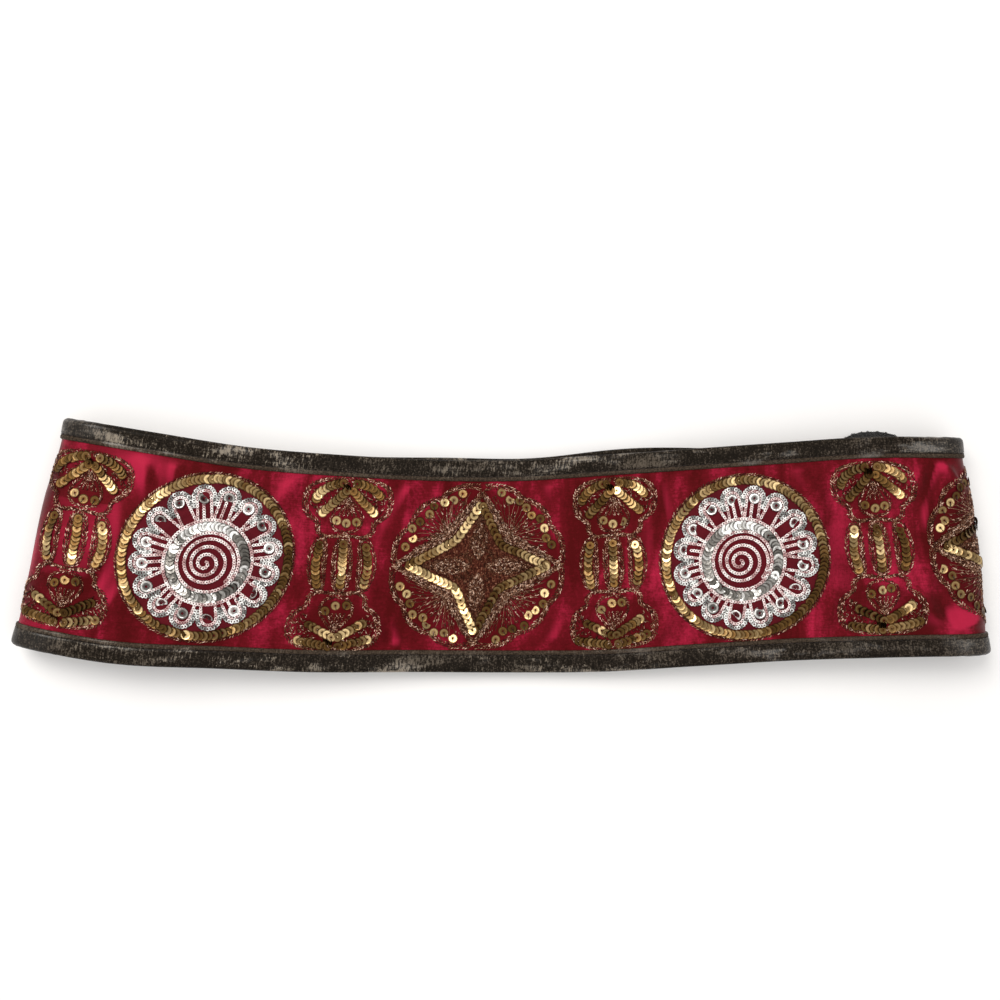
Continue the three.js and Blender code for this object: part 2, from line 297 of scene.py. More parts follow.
def panel_relief(s, v):
    """How far the satin's creases lift or sink its outer face"""
    relief = np.zeros_like(s)
    room = 1 - 0.75 * surface.rests(s)
    for step in CREASE_STEPS:
        hidden = 0.8 if step else 1.0
        for at, across, length, width, depth, angle in CREASES:
            a = math.radians(angle)
            ds = s - (at + step)
            near = np.abs(ds) < 40
            if not near.any() or (step and FRONT_SPAN[0] < at + step < FRONT_SPAN[1]):
                continue
            dv = v[near] - across
            along = (ds[near] * math.cos(a) + dv * math.sin(a)) / length
            over = (-ds[near] * math.sin(a) + dv * math.cos(a)) / width
            relief[near] += 2.3 * hidden * depth * np.exp(-along ** 2 * 2) * np.exp(-over ** 2 * 2)
    fade = 1 - smoothstep((np.abs(v) - surface.open_half(s, v) + 5) / 4)
    return relief * room * fade


# Painted pools of shade and light on the satin: place along and across, reach each way, how much painted
# shade (below 0, how much painted light)
PAINTED_LIGHT_POOLS = (
    (446, 0, 17, 42, -0.26), (131, -3, 11, 26, 0.85), (112, -3, 13, 13, 0.55),
    (84, -31, 9, 6, -0.60), (90, -9, 8, 12, 0.50), (205, -25, 14, 14, 0.45), (428, 34, 12, 7, -0.40),
)


def stitching_and_painted_pools(s, v):
    """1 where the satin is darker within the stars' and columns' close stitching, 0 on open cloth; the
    painted pools of shade add to it and the painted pools of light take from it
    """
    stitching_and_pools = np.zeros_like(s)
    for at in STARS:
        stitching_and_pools = np.maximum(stitching_and_pools, 1 - smoothstep((np.hypot(s - at, v * 1.05) - 33) / 3))
    for at in COLUMNS:
        for end in (1, -1):
            reach = np.hypot((s - at) / 16.5, (v * end - 25.5) / 10)
            stitching_and_pools = np.maximum(stitching_and_pools, 0.8 * (1 - smoothstep((reach - 0.9) / 0.2)))
    # The painted pools: painted shade where the amount is above 0, painted light where it is below
    for at, across, along, wide, amount in PAINTED_LIGHT_POOLS:
        stitching_and_pools += amount * np.exp(-((s - at) / along) ** 2 - ((v - across) / wide) ** 2)
    return stitching_and_pools


def crease_light(s, v):
    """The satin's sheen on the slopes of its creases, above 0 where they face the window"""
    reach = 0.4
    along = (panel_relief(s + reach, v) - panel_relief(s - reach, v)) / (2 * reach)
    over = (panel_relief(s, v + reach) - panel_relief(s, v - reach)) / (2 * reach)
    return -(along + 0.6 * over)


surface = BeltSurface()

seeded = np.random.default_rng(7)


class Template:
    """A small piece that is modelled once, a thousand times its size, and laid down many times"""

    def __init__(self, made):
        mesh = made.data
        points = np.array([vertex.co for vertex in mesh.vertices])
        # Edit mode leaves points and faces in no set order, so they are sorted by place
        order = np.lexsort(points.round(4).T)
        rank = np.argsort(order)
        faces = sorted(rank[list(face.vertices)].tolist() for face in mesh.polygons)
        self.vertices = points[order]
        self.loops = np.concatenate(faces)
        self.sizes = np.array([len(face) for face in faces])
        # Painted shade added to each point's tone; none unless a template sets it
        self.painted_rim_shade = np.zeros(len(points))
        bpy.data.objects.remove(made)
        bpy.data.meshes.remove(mesh)


def spun(first, second, angle):
    """Two crossing directions, turned in their own plane from the first towards the second"""
    c, d = np.cos(angle)[:, None], np.sin(angle)[:, None]
    return first * c + second * d, second * c - first * d


class Batch:
    """Where the copies of one template lie, in rows of one motif after another"""

    def __init__(self, pressed=True):
        self.rows = []
        self.pressed = pressed

    def lay(self, centre, points, height, turn=0.0, tilt=0.0, roll=0.0, size=1.0, wide=1.0, tone=0.5):
        """points are (right, up) from the motif's centre, and the rest are numbers or arrays"""
        points = np.asarray(points, float).reshape(-1, 2)
        values = [centre[0] - points[:, 0], centre[1] + points[:, 1], height, turn, tilt, roll,
                  size, wide, tone]
        columns = [np.broadcast_to(np.asarray(a, float), (len(points),)) for a in values]
        self.rows.append(np.stack(columns, 1))

    def build(self, name, template, finish, slot, crisp=False):
        """All the copies in one joined mesh"""
        s, v, height, turn, tilt, roll, size, wide, tone = np.concatenate(self.rows).T
        right, up, out = surface.frames(s, v)
        press = surface.pressed(s) if self.pressed else np.ones(len(s))
        origin = surface.on_panel(s, v, height * press / surface.pressed(s))
        ahead, aside = spun(right, up, turn)
        ahead, out = spun(ahead, out, tilt * press)
        aside, out = spun(aside, out, roll * press)
        part = template.vertices
        grown = size[:, None] * MM
        shape = (
            ahead[:, None, :] * (part[None, :, 0] * grown)[..., None]
            + aside[:, None, :] * (part[None, :, 1] * grown * wide[:, None])[..., None]
            + out[:, None, :] * (part[None, :, 2] * grown * press[:, None])[..., None]
        )
        points = (origin[:, None, :] + shape).reshape(-1, 3)
        points[:, 2] = np.maximum(points[:, 2], LEAST_LIFT)
        count = len(s)
        step = np.arange(count)[:, None] * len(part)
        loops = (template.loops[None, :] + step).ravel()
        sizes = np.tile(template.sizes, count)
        tones = (tone[:, None] + template.painted_rim_shade[None, :]).ravel()
        piece = mesh_piece(name, points, loops, sizes, tone=tones)
        return dress(piece, finish, slot, crisp)


def glints(count, dull=0.8, runs=1, bright=0.05, chance=0.75):
    """Tones along a row of sequins: dull, with a run or two of bright ones as painted glints"""
    tones = np.full(count, dull)
    for _ in range(runs):
        if seeded.uniform() < chance:
            middle = seeded.uniform(0, count)
            reach = seeded.uniform(1.0, max(2.0, count * 0.3))
            share = np.exp(-((np.arange(count) - middle) / reach) ** 2)
            tones = tones + (bright - tones) * share
    return tones


def mesh_piece(name, points, loops, sizes, uv=None, tone=None):
    """A new object from arrays: points in metres, corners face after face, and corners a face"""
    mesh = bpy.data.meshes.new(name)
    mesh.vertices.add(len(points))
    mesh.vertices.foreach_set("co", np.asarray(points, np.float32).ravel())
    mesh.loops.add(len(loops))
    mesh.loops.foreach_set("vertex_index", np.asarray(loops, np.int32))
    mesh.polygons.add(len(sizes))
    starts = np.concatenate([[0], np.cumsum(sizes)[:-1]])
    mesh.polygons.foreach_set("loop_start", starts.astype(np.int32))
    mesh.polygons.foreach_set("loop_total", np.asarray(sizes, np.int32))
    mesh.update(calc_edges=True)
    if uv is not None:
        layer = mesh.uv_layers.new(name="across_the_belt")
        layer.data.foreach_set("uv", np.asarray(uv, np.float32)[loops].ravel())
    if tone is not None:
        attribute = mesh.attributes.new("tone", "FLOAT", "POINT")
        attribute.data.foreach_set("value", np.asarray(tone, np.float32))
    mesh.validate()
    piece = bpy.data.objects.new(name, mesh)
    bpy.context.collection.objects.link(piece)
    return piece


def corners(quads, *others):
    """The corners of a mesh's faces and their count a face: quads first, then any others"""
    return np.concatenate([quads.ravel(), *others]), [4] * len(quads) + [len(face) for face in others]


def dress(piece, finish, slot, crisp=False):
    """Gives a piece its material, its body and its slot, and smooths its faces"""
    piece.data.materials.clear()
    piece.data.materials.append(finish)
    piece.data.polygons.foreach_set("use_smooth", np.full(len(piece.data.polygons), not crisp))
    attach(piece, "root")
    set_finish(piece, slot)
    return piece


def grid_faces(rows, columns, closed=False):
    """The corners of the quads between rows of points, that run round where closed"""
    i = np.arange(rows - 1)[:, None]
    j = np.arange(columns if closed else columns - 1)[None, :]
    k = (j + 1) % columns
    quads = np.stack(np.broadcast_arrays(
        i * columns + j, i * columns + k, (i + 1) * columns + k, (i + 1) * columns + j), -1)
    return quads.reshape(-1, 4)


class Tubes:
    """Gathers fine round cords that follow the belt's face, and joins them in one mesh"""

    def __init__(self, sides):
        self.sides = sides
        self.points, self.quads, self.ends, self.uv, self.tone = [], [], [], [], []
        self.count = 0

    def lay(self, centre, path, height, radius, tone):
        count = len(path)
        ahead = np.gradient(path, axis=0)
        ahead /= np.linalg.norm(ahead, axis=1, keepdims=True)
        aside = np.stack([-ahead[:, 1], ahead[:, 0]], 1)
        around = np.arange(self.sides) * 2 * np.pi / self.sides - np.pi / 2
        rise = np.tile(height + radius * np.sin(around), count)
        flat = path[:, None, :] + (radius * np.cos(around))[None, :, None] * aside[:, None, :]
        s, v = centre[0] - flat[..., 0].ravel(), centre[1] + flat[..., 1].ravel()
        self.points.append(surface.on_panel(s, v, rise))
        self.quads.append(grid_faces(count, self.sides, closed=True)[:, ::-1] + self.count)
        ring = self.count + np.arange(self.sides)
        self.ends += [ring, (ring + (count - 1) * self.sides)[::-1]]
        run = np.concatenate([[0], np.cumsum(np.linalg.norm(np.diff(path, axis=0), axis=1))])
        self.uv.append(np.stack(np.broadcast_arrays(
            run[:, None] * MM, np.arange(self.sides)[None, :] / self.sides), -1).reshape(-1, 2))
        self.tone.append(np.full(count * self.sides, tone))
        self.count += count * self.sides

    def build(self, name, finish, slot):
        points = np.concatenate(self.points)
        points[:, 2] = np.maximum(points[:, 2], LEAST_LIFT)
        piece = mesh_piece(name, points, *corners(np.concatenate(self.quads), *self.ends),
                           np.concatenate(self.uv), np.concatenate(self.tone))
        return dress(piece, finish, slot)


def evenly(path, pitch, closed=False):
    """Points along a path a pitch apart, and which way it runs at each"""
    path = np.asarray(path, float)
    if closed:
        path = np.concatenate([path, path[:1]])
    run = np.concatenate([[0], np.cumsum(np.linalg.norm(np.diff(path, axis=0), axis=1))])
    count = max(2, int(round(run[-1] / pitch)))
    at = (np.arange(count) + 0.5) * run[-1] / count
    points = np.stack([np.interp(at, run, path[:, k]) for k in (0, 1)], 1)
    ahead = points - np.stack([np.interp(at - 0.2, run, path[:, k]) for k in (0, 1)], 1)
    return points, np.arctan2(ahead[:, 1], ahead[:, 0])


def arc(centre, radii, start, end, count=24):
    """Points along part of an ellipse, its angles in degrees"""
    angle = np.radians(np.linspace(start, end, count))
    return np.stack([centre[0] + radii[0] * np.cos(angle), centre[1] + radii[1] * np.sin(angle)], 1)


def ripple(s, v, coarse, fine, seed):
    """An uneven wave from -1 to 1, the same each run"""
    chance = np.random.default_rng(seed)
    total = np.zeros_like(s)
    for k in range(7):
        length = coarse * (fine / coarse) ** (k / 6)
        turn = chance.uniform(-0.5, 0.5)
        total += np.sin((s * math.cos(turn) + v * math.sin(turn) * 2) * 2 * np.pi / length
                        + chance.uniform(0, 6.28)) * chance.uniform(0.5, 1)
    return total / 3.5


class Socket:
    """A shader output that adds its maths nodes when it is used in an expression"""

    def __init__(self, finish, output):
        self.finish = finish
        self.output = output

    def maths(self, operation, *values):
        return self.finish.node("ShaderNodeMath", {"operation": operation}, dict(enumerate(values)))

    def __add__(self, other):
        return self.maths("ADD", self, other)

    def __sub__(self, other):
        return self.maths("SUBTRACT", self, other)

    def __rsub__(self, other):
        return self.maths("SUBTRACT", other, self)

    def __mul__(self, other):
        return self.maths("MULTIPLY", self, other)

    __radd__ = __add__
    __rmul__ = __mul__

    def between(self, low, high):
        """0 below low and 1 above high, smooth between them"""
        return self.finish.node("ShaderNodeMapRange", {"interpolation_type": "SMOOTHSTEP"},
                                {"Value": self, "From Min": low, "From Max": high})


class Finish:
    """A material, its shader, and the one way that nodes are added to it"""

    def __init__(self, name, **fixed):
        self.material = bpy.data.materials.new(name)
        self.material.use_nodes = True
        self.tree = self.material.node_tree
        self.tree.nodes.clear()
        self.shader = self.tree.nodes.new("ShaderNodeBsdfPrincipled")
        output = self.tree.nodes.new("ShaderNodeOutputMaterial")
        self.tree.links.new(self.shader.outputs["BSDF"], output.inputs["Surface"])
        for name, value in fixed.items():
            self.shader.inputs[name.replace("_", " ")].default_value = value

    def node(self, kind, settings=None, inputs=None, output=0):
        added = self.tree.nodes.new(kind)
        for name, value in (settings or {}).items():
            if name == "stops":
                self.set_stops(added.color_ramp, value)
            else:
                setattr(added, name, value)
        for name, value in (inputs or {}).items():
            if isinstance(value, Socket):
                self.tree.links.new(value.output, added.inputs[name])
            else:
                added.inputs[name].default_value = value
        return Socket(self, added.outputs[output])

    @staticmethod
    def set_stops(ramp, stops):
        while len(ramp.elements) < len(stops):
            ramp.elements.new(0.5)
        for element, (place, colour) in zip(ramp.elements, stops):
            element.position = place
            element.color = (*colour, 1)

    def link(self, socket, name):
        self.tree.links.new(socket.output, self.shader.inputs[name])

    def uv(self):
        """Places along and across the belt, in metres"""
        return self.node("ShaderNodeUVMap", {"uv_map": "across_the_belt"})

    def place(self):
        return self.node("ShaderNodeTexCoord", output="Object")

    def tone(self):
        """The number that each point of a mesh carries, mostly from bright to dull; on the satin, sequins,
        threads and leather it also carries painted light and shade
        """
        return self.node("ShaderNodeAttribute", {"attribute_name": "tone"}, output="Fac")

    def stretched(self, vector, scale, turn=0.0):
        return self.node("ShaderNodeMapping", None,
                         {"Vector": vector, "Scale": scale, "Rotation": (0, 0, turn)})

    def noise(self, vector, scale=1.0, detail=3.0, rough=0.5, warp=0.0):
        return self.node("ShaderNodeTexNoise", None, {
            "Vector": vector, "Scale": scale, "Detail": detail, "Roughness": rough,
            "Distortion": warp})

    def cells(self, vector, scale):
        return self.node("ShaderNodeTexVoronoi", {"feature": "DISTANCE_TO_EDGE"},
                         {"Vector": vector, "Scale": scale})

    def mix(self, factor, first, second):
        colours = [a if isinstance(a, Socket) else (*a, 1) for a in (first, second)]
        return self.node("ShaderNodeMix", {"data_type": "RGBA"},
                         {0: factor, 6: colours[0], 7: colours[1]}, output=2)

    def ramp(self, value, *stops):
        return self.node("ShaderNodeValToRGB", {"stops": stops}, {"Fac": value})

    def bump(self, height, depth, strength=1.0):
        normal = self.node("ShaderNodeBump", None,
                           {"Height": height, "Distance": depth, "Strength": strength})
        self.link(normal, "Normal")

    def split(self, vector):
        parts = self.tree.nodes.new("ShaderNodeSeparateXYZ")
        self.tree.links.new(vector.output, parts.inputs[0])
        return [Socket(self, output) for output in parts.outputs]


def satin_finish(colours):
    """Crimson satin: fine slubs along the belt, a soft pinkish sheen, and painted sheen and painted shade in
    its colour: light and dark patches and streaks, lit and shaded crease slopes, and darker cloth within
    close stitching
    """
    finish = Finish("crimson_satin", Sheen_Weight=0.14, Sheen_Roughness=0.3,
                    Sheen_Tint=(1.0, 0.15, 0.2, 1), Specular_IOR_Level=0.35,
                    Specular_Tint=(1.0, 0.10, 0.12, 1))
    uv = finish.uv()
    slub = finish.noise(finish.stretched(uv, (150, 2600, 1)), detail=4, rough=0.6)
    thread = finish.noise(finish.stretched(uv, (900, 4200, 1)), detail=2)
    cross = finish.noise(finish.stretched(uv, (3600, 500, 1)), detail=1)
    # pool and streak paint the satin's sheen into its colour: painted light and painted shade in broad
    # patches and streaks
    pool = finish.noise(finish.place(), scale=22, detail=4, rough=0.6, warp=0.6)
    streak = finish.noise(finish.stretched(uv, (70, 20, 1), 0.35), detail=3, rough=0.5, warp=1.2)
    mottle = finish.noise(finish.place(), scale=900, detail=3, rough=0.7)
    shade = finish.ramp(pool * 0.38 + streak * 0.36 + slub * 0.1 + mottle * 0.16,
                        (0.44, colours.satin_painted_shade), (0.52, colours.satin), (0.63, colours.satin_light))
    # Darker within close stitching, in painted shade on crease slopes and pools, and along the weave's cross
    # threads
    stitching_weave_and_painted_shade = finish.tone().between(0.0, 1.0) * 0.6 + cross.between(0.45, 0.7) * 0.16
    shaded = finish.mix(stitching_weave_and_painted_shade, shade, colours.satin_painted_shade)
    # Painted sheen on the crease slopes that face the window and in the painted pools of light
    lit = (finish.tone() * -1).between(0.0, 0.55)
    finish.link(finish.mix(lit * 0.85, shaded, colours.satin_light), "Base Color")
    finish.link(0.36 + pool * 0.12 + thread * 0.1, "Roughness")
    finish.bump(slub * 0.6 + thread * 0.3 + cross * 0.25, 0.00016, 0.55)
    return finish.material


def patch_finish(colours):
    """Maroon ground cloth of the applique, a dull close weave"""
    finish = Finish("maroon_ground", Sheen_Weight=0.1, Sheen_Roughness=0.5,
                    Sheen_Tint=(1.0, 0.2, 0.3, 1), Specular_IOR_Level=0.3,
                    Specular_Tint=(1.0, 0.2, 0.3, 1))
    uv = finish.uv()
    weave = finish.noise(finish.stretched(uv, (2400, 2400, 1)), detail=2)
    pool = finish.noise(finish.place(), scale=90, detail=3)
    colour = finish.ramp(pool * 0.5 + weave * 0.5, (0.34, colours.maroon_deep), (0.66, colours.maroon))
    finish.link(colour, "Base Color")
    finish.link(0.55 + weave * 0.2, "Roughness")
    finish.bump(weave, 0.00012, 0.5)
    return finish.material


GROOVE_SHADE = (0.0015, 0.001, 0.0008)


def leather_finish(colours):
    """Worn dark leather: grain, pale crackle across the strip, a browner inner edge, painted shade in the
    stitching groove, and painted pale gloss in patches round the right fold
    """
    finish = Finish("worn_leather", Specular_IOR_Level=0.06, Specular_Tint=(1.0, 0.85, 0.7, 1),
                    Coat_Roughness=0.25, Coat_IOR=1.6)
    uv = finish.uv()
    grain = finish.cells(uv, 1300)
    pores = finish.noise(uv, scale=1300, detail=4, rough=0.75)
    crackle = finish.noise(finish.stretched(uv, (1100, 300, 1)), detail=4, rough=0.75, warp=0.8)
    worn = finish.noise(finish.stretched(uv, (40, 130, 1)), detail=4, rough=0.65)
    tone = finish.tone()
    base = finish.ramp(pores * 0.45 + crackle * 0.35 + worn * 0.2, (0.45, colours.leather_deep),
                       (0.51, colours.leather), (0.57, colours.leather_light))
    groove = tone.between(0.08, 0.3) * (1 - tone.between(0.45, 0.75))
    turned = tone.between(0.55, 0.8) * (pores.between(0.40, 0.60) * 0.7 + 0.2)
    strip = finish.mix(turned, finish.mix(groove, base, GROOVE_SHADE), colours.leather_inner)
    smooth = 1 - tone.between(-0.7, -0.1)
    keep = (1 - smooth * 0.85) * (1 - tone.between(0.3, 0.8) * 0.6)
    patchy = finish.noise(finish.stretched(uv, (22, 60, 1)), detail=2).between(0.40, 0.6)
    old = finish.split(uv)[0].between(0.12, 0.30) * 0.75 + 0.25
    cracks = crackle * (old * 0.35 + 0.45) + pores * (0.55 - old * 0.35)
    wear = (cracks + (worn - 0.5) * 0.9).between(0.54, 0.64) * keep * old
    # Painted gloss: pale patches where the smooth leather round the right fold catches the light
    painted_gloss = (pores * 0.6 + worn * 0.5).between(0.54, 0.68) * patchy * (1 - old) * smooth
    crackle_and_painted_gloss = wear * (0.2 + patchy * 0.8) + painted_gloss * 0.6
    finish.link(finish.mix(crackle_and_painted_gloss, strip, colours.leather_crackle_and_gloss), "Base Color")
    finish.link(0.5 + pores * 0.2 + wear * 0.2, "Roughness")
    shine = patchy * worn.between(0.50, 0.62) * (1.0 - old * 0.6)
    finish.link(smooth * 0.40 + shine + 0.03, "Coat Weight")
    creases = finish.noise(finish.stretched(uv, (420, 90, 1)), detail=4, rough=0.65, warp=0.4)
    finish.bump(grain.between(0.0, 0.35) * 0.25 + creases * 0.9 + pores * 0.25 - wear * 0.2,
                0.00035, 0.6)
    return finish.material


def metal_finish(name, bright, dull, rough, crumple):
    """Sequins of thin metal foil, from bright in a painted glint to a dull painted reflection by each
    sequin's tone, darkest in the painted shade of rim and hole
    """
    finish = Finish(name, Metallic=1.0)
    tone = finish.tone()
    spots = finish.noise(finish.place(), scale=1400, detail=3)
    # Only the bright colour is the foil's own: the middle and dull ones are painted dim reflection, and the
    # dark one painted shade at rim and hole
    middle = tuple(0.24 * a + 0.76 * b for a, b in zip(bright, dull))
    dark = tuple(0.25 * b for b in dull)
    colour = finish.ramp((tone + (spots - 0.5) * 0.2) * 0.7, (0.02, bright), (0.3, middle),
                         (0.62, dull), (0.95, dark))
    finish.link(colour, "Base Color")
    finish.link(rough + tone * 0.16 + spots * 0.1, "Roughness")
    dents = finish.noise(finish.place(), scale=420, detail=2)
    finish.bump(spots * 0.15 + dents, crumple, 0.8)
    return finish.material


def thread_finish(name, stops, metal, rough):
    """Metal or silk thread, its colour by each stitch's random tone, painted as shade at the dark end and as
    a glint at the bright end
    """
    finish = Finish(name, Metallic=metal, Specular_IOR_Level=0.2)
    tone = finish.tone()
    fibre = finish.noise(finish.place(), scale=2600, detail=2)
    colour = finish.ramp(tone + (fibre - 0.5) * 0.3, *stops)
    finish.link(colour, "Base Color")
    finish.link(rough + fibre * 0.2, "Roughness")
    finish.bump(fibre, 0.00006, 0.5)
    return finish.material


def ground_finish():
    """Close dark metal stitching, flecked brown and rust"""
    finish = Finish("star_ground", Specular_IOR_Level=0.06, Specular_Tint=(1.0, 0.6, 0.5, 1))
    uv = finish.uv()
    strands = finish.noise(finish.stretched(uv, (700, 1500, 1), 0.6), detail=3, warp=1.2)
    strands = strands * 0.5 + finish.noise(finish.stretched(uv, (1500, 700, 1), 0.9), detail=3) * 0.5
    colour = finish.ramp(strands, (0.42, (0.018, 0.004, 0.002)), (0.5, (0.050, 0.010, 0.006)),
                         (0.59, (0.12, 0.042, 0.022)), (0.68, (0.36, 0.20, 0.13)))
    finish.link(colour, "Base Color")
    finish.link(0.4 + strands * 0.25, "Roughness")
    finish.bump(strands, 0.0004, 0.8)
    return finish.material


def tape_finish(name, colour, pale):
    """Black nylon tape"""
    finish = Finish(name, Sheen_Weight=0.3, Sheen_Roughness=0.4)
    fibre = finish.noise(finish.place(), scale=1500, detail=4)
    finish.link(finish.mix(fibre.between(0.4, 0.75), colour, pale), "Base Color")
    finish.link(0.5 + fibre * 0.3, "Roughness")
    finish.bump(fibre, 0.0001, 0.5)
    return finish.material


def tint_setting(name, description, *value):
    return FloatVectorProperty(name=name, description=description, default=value, subtype="COLOR")


def size_setting(name, description, value, low, high):
    return FloatProperty(name=name, description=description, default=value, min=low, max=high,
                         unit="LENGTH")


class BeltColours(bpy.types.PropertyGroup):
    """Colours that someone would change to suit another costume"""

    satin: tint_setting("Satin", "Ground cloth", 0.090, 0.0030, 0.0072)
    satin_light: tint_setting("Satin, light", "Where the cloth catches light", 0.36, 0.013, 0.046)
    # The deep satin colour is mostly painted shade: the dark end of the painted sheen, the crease and pool
    # shade, and darker cloth within close stitching; a little of it follows the weave's slubs and mottle
    satin_painted_shade: tint_setting("Satin, deep", "Where the cloth is worn and dull", 0.036, 0.0014, 0.0016)
    maroon: tint_setting("Applique", "Ground cloth of the round patches", 0.090, 0.005, 0.008)
    maroon_deep: tint_setting("Applique, deep", "Shade between the patch's threads", 0.040, 0.003, 0.004)
    leather: tint_setting("Leather", "Bindings", 0.011, 0.0080, 0.0056)
    leather_deep: tint_setting("Leather, deep", "Creases of the bindings", 0.0040, 0.0028, 0.0018)
    leather_light: tint_setting("Leather, light", "Rubbed places of the bindings", 0.070, 0.056, 0.043)
    leather_inner: tint_setting("Leather, inner edge", "Turned edge beside the stitching",
                                0.060, 0.042, 0.029)
    # The crackle colour is also painted gloss: it marks the cracked-off finish and the pale highlights round
    # the right fold
    leather_crackle_and_gloss: tint_setting("Leather, crackle", "Where the finish has cracked off",
                                0.22, 0.185, 0.145)
    gold: tint_setting("Gold sequins", "Bright gold foil", 0.86, 0.64, 0.33)
    # Dull gold is painted dim reflection of the foil
    gold_painted_dim_reflection: tint_setting("Gold sequins, dull", "Tarnished gold foil", 0.105, 0.055, 0.0175)
    silver: tint_setting("Silver sequins", "Bright silver foil", 0.97, 0.96, 0.94)
    # Dull silver is painted dim reflection of the foil
    silver_painted_dim_reflection: tint_setting("Silver sequins, dull", "Tarnished silver foil", 0.17, 0.16, 0.145)


class BeltSizes(bpy.types.PropertyGroup):
    """Sizes that someone would change for another trim"""

    sequin: size_setting("Sequin", "Width of a flat sequin", 0.004, 0.002, 0.008)
    stitch: size_setting("Chain stitch", "Length of one stitch of the cords", 0.0011, 0.0006, 0.003)
    cloth_step: size_setting("Cloth mesh", "Width of the satin's faces", 0.0016, 0.001, 0.01)


# Each thread: its colours by tone, from painted shade to a painted glint, how metallic it is, and how rough
THREADS = {
    "silver_cord": (((0.0, (0.05, 0.05, 0.048)), (0.4, (0.34, 0.35, 0.34)),
                     (0.9, (0.97, 0.98, 0.96))), 0.35, 0.3),
    "pale_thread": (((0.0, (0.07, 0.024, 0.022)), (0.27, (0.40, 0.20, 0.20)),
                     (0.55, (0.86, 0.66, 0.65)), (0.85, (1.0, 0.94, 0.92))), 0.1, 0.4),
    "bronze_thread": (((0.0, (0.030, 0.007, 0.003)), (0.42, (0.13, 0.050, 0.024)),
                       (0.75, (0.38, 0.20, 0.125)), (1.0, (0.86, 0.62, 0.48))), 0.45, 0.33),
    "dark_thread": (((0.0, (0.012, 0.009, 0.008)), (1.0, (0.05, 0.036, 0.03))), 0.0, 0.5),
}

# Each tape: its colour, and where its fibres are paler
TAPES = {
    "loop_pile": ((0.010, 0.009, 0.009), (0.05, 0.046, 0.046)),
    "hook_nylon": ((0.012, 0.012, 0.012), (0.04, 0.04, 0.04)),
}

finishes = {}


def finish_for(name):
    """The named material, made once from the belt's colours"""
    if name not in finishes:
        c = bpy.context.scene.belt_colours
        if name in THREADS:
            made = thread_finish(name, *THREADS[name])
        elif name in TAPES:
            made = tape_finish(name, *TAPES[name])
        elif name == "gold":
            made = metal_finish("gold_sequins", c.gold, c.gold_painted_dim_reflection, 0.2, 0.0001)
        elif name == "silver":
            made = metal_finish("silver_sequins", c.silver, c.silver_painted_dim_reflection, 0.14, 0.0005)
        elif name == "star_ground":
            made = ground_finish()
        else:
            made = {"satin": satin_finish, "patch": patch_finish, "leather": leather_finish}[name](c)
        finishes[name] = made
    return finishes[name]


def model(add, **how):
    """Adds a primitive for a template and selects all of it in edit mode"""
    bpy.ops.object.select_all(action="DESELECT")
    add(**how)
    bpy.ops.object.transform_apply()
    bpy.ops.object.mode_set(mode="EDIT")
    bpy.ops.mesh.select_all(action="SELECT")


def resize(x, y, z):
    bpy.ops.transform.resize(value=(x, y, z), center_override=(0, 0, 0))


def finished_template():
    """Merges doubled points, turns the faces outwards and takes the shape as a template"""
    bpy.ops.mesh.select_all(action="SELECT")
    bpy.ops.mesh.remove_doubles(threshold=0.001)
    bpy.ops.mesh.normals_make_consistent(inside=False)
    bpy.ops.object.mode_set(mode="OBJECT")
    return Template(bpy.context.object)


FLAT_SHARE = 0.385


def sequin_template(width, cup=0.1):
    """A round sequin with a hole at its middle, a nearly flat face and a turned-up rim"""
    hole = 0.11 * width
    model(bpy.ops.mesh.primitive_circle_add, vertices=12, radius=hole, location=(0, 0, 0.06))
    flat, rim = FLAT_SHARE * width / hole, 0.5 / FLAT_SHARE
    for factor, rise in ((flat, 0.0), (rim, cup), (1 / rim, -cup - 0.07), (1 / flat, 0.07)):
        bpy.ops.mesh.extrude_region_move(TRANSFORM_OT_translate={"value": (0, 0, rise)})
        resize(factor, factor, 1)
    made = finished_template()
    reach = np.hypot(made.vertices[:, 0], made.vertices[:, 1]) / (width / 2)
    # Painted shade on each sequin: its rim and the edge of its hole are darker, as a cupped sequin is shaded
    # there
    made.painted_rim_shade = 0.5 * (reach > 0.9) + 0.3 * (reach < 0.3)
    return made


def link_template(length):
    """One chain stitch: a drop-shaped loop of thread, its tip in the next one"""
    model(bpy.ops.mesh.primitive_torus_add, major_segments=5, minor_segments=3, major_radius=0.5,
          minor_radius=0.24)
    resize(length * 1.4, length * 0.62, 0.9)
    return finished_template()


def stroke_template(length, width, height):
    """A short stitch of thread, thick at its middle and pointed at both ends"""
    model(bpy.ops.mesh.primitive_uv_sphere_add, segments=3, ring_count=2, radius=0.5,
          rotation=(0, math.pi / 2, 0))
    resize(length, width, height)
    return finished_template()


def sliver_template(length, width):
    """A short loose stitch of fine thread, pointed at one end"""
    model(bpy.ops.mesh.primitive_cone_add, vertices=3, radius1=width * 0.6, radius2=0, depth=length,
          rotation=(0, math.pi / 2, 0))
    return finished_template()


def arch_template(width, thickness):
    """A small upright arch of thread, as in the closure's tapes"""
    model(bpy.ops.mesh.primitive_torus_add, major_segments=4, minor_segments=3,
          major_radius=width / 2, minor_radius=thickness / 2, rotation=(math.pi / 2, 0, 0))
    bpy.ops.mesh.bisect(plane_co=(0, 0, -0.02), plane_no=(0, 0, -1), clear_outer=True, use_fill=True)
    return finished_template()


def flat_layout(s_rows, v_share):
    """Places of a grid across the whole panel, with its rims under the bindings"""
    edge = surface.half_width(s_rows) - LEATHER - SEAM_GAP
    s = np.repeat(s_rows, len(v_share))
    v = (edge[:, None] * v_share[None, :]).ravel()
    return s, v


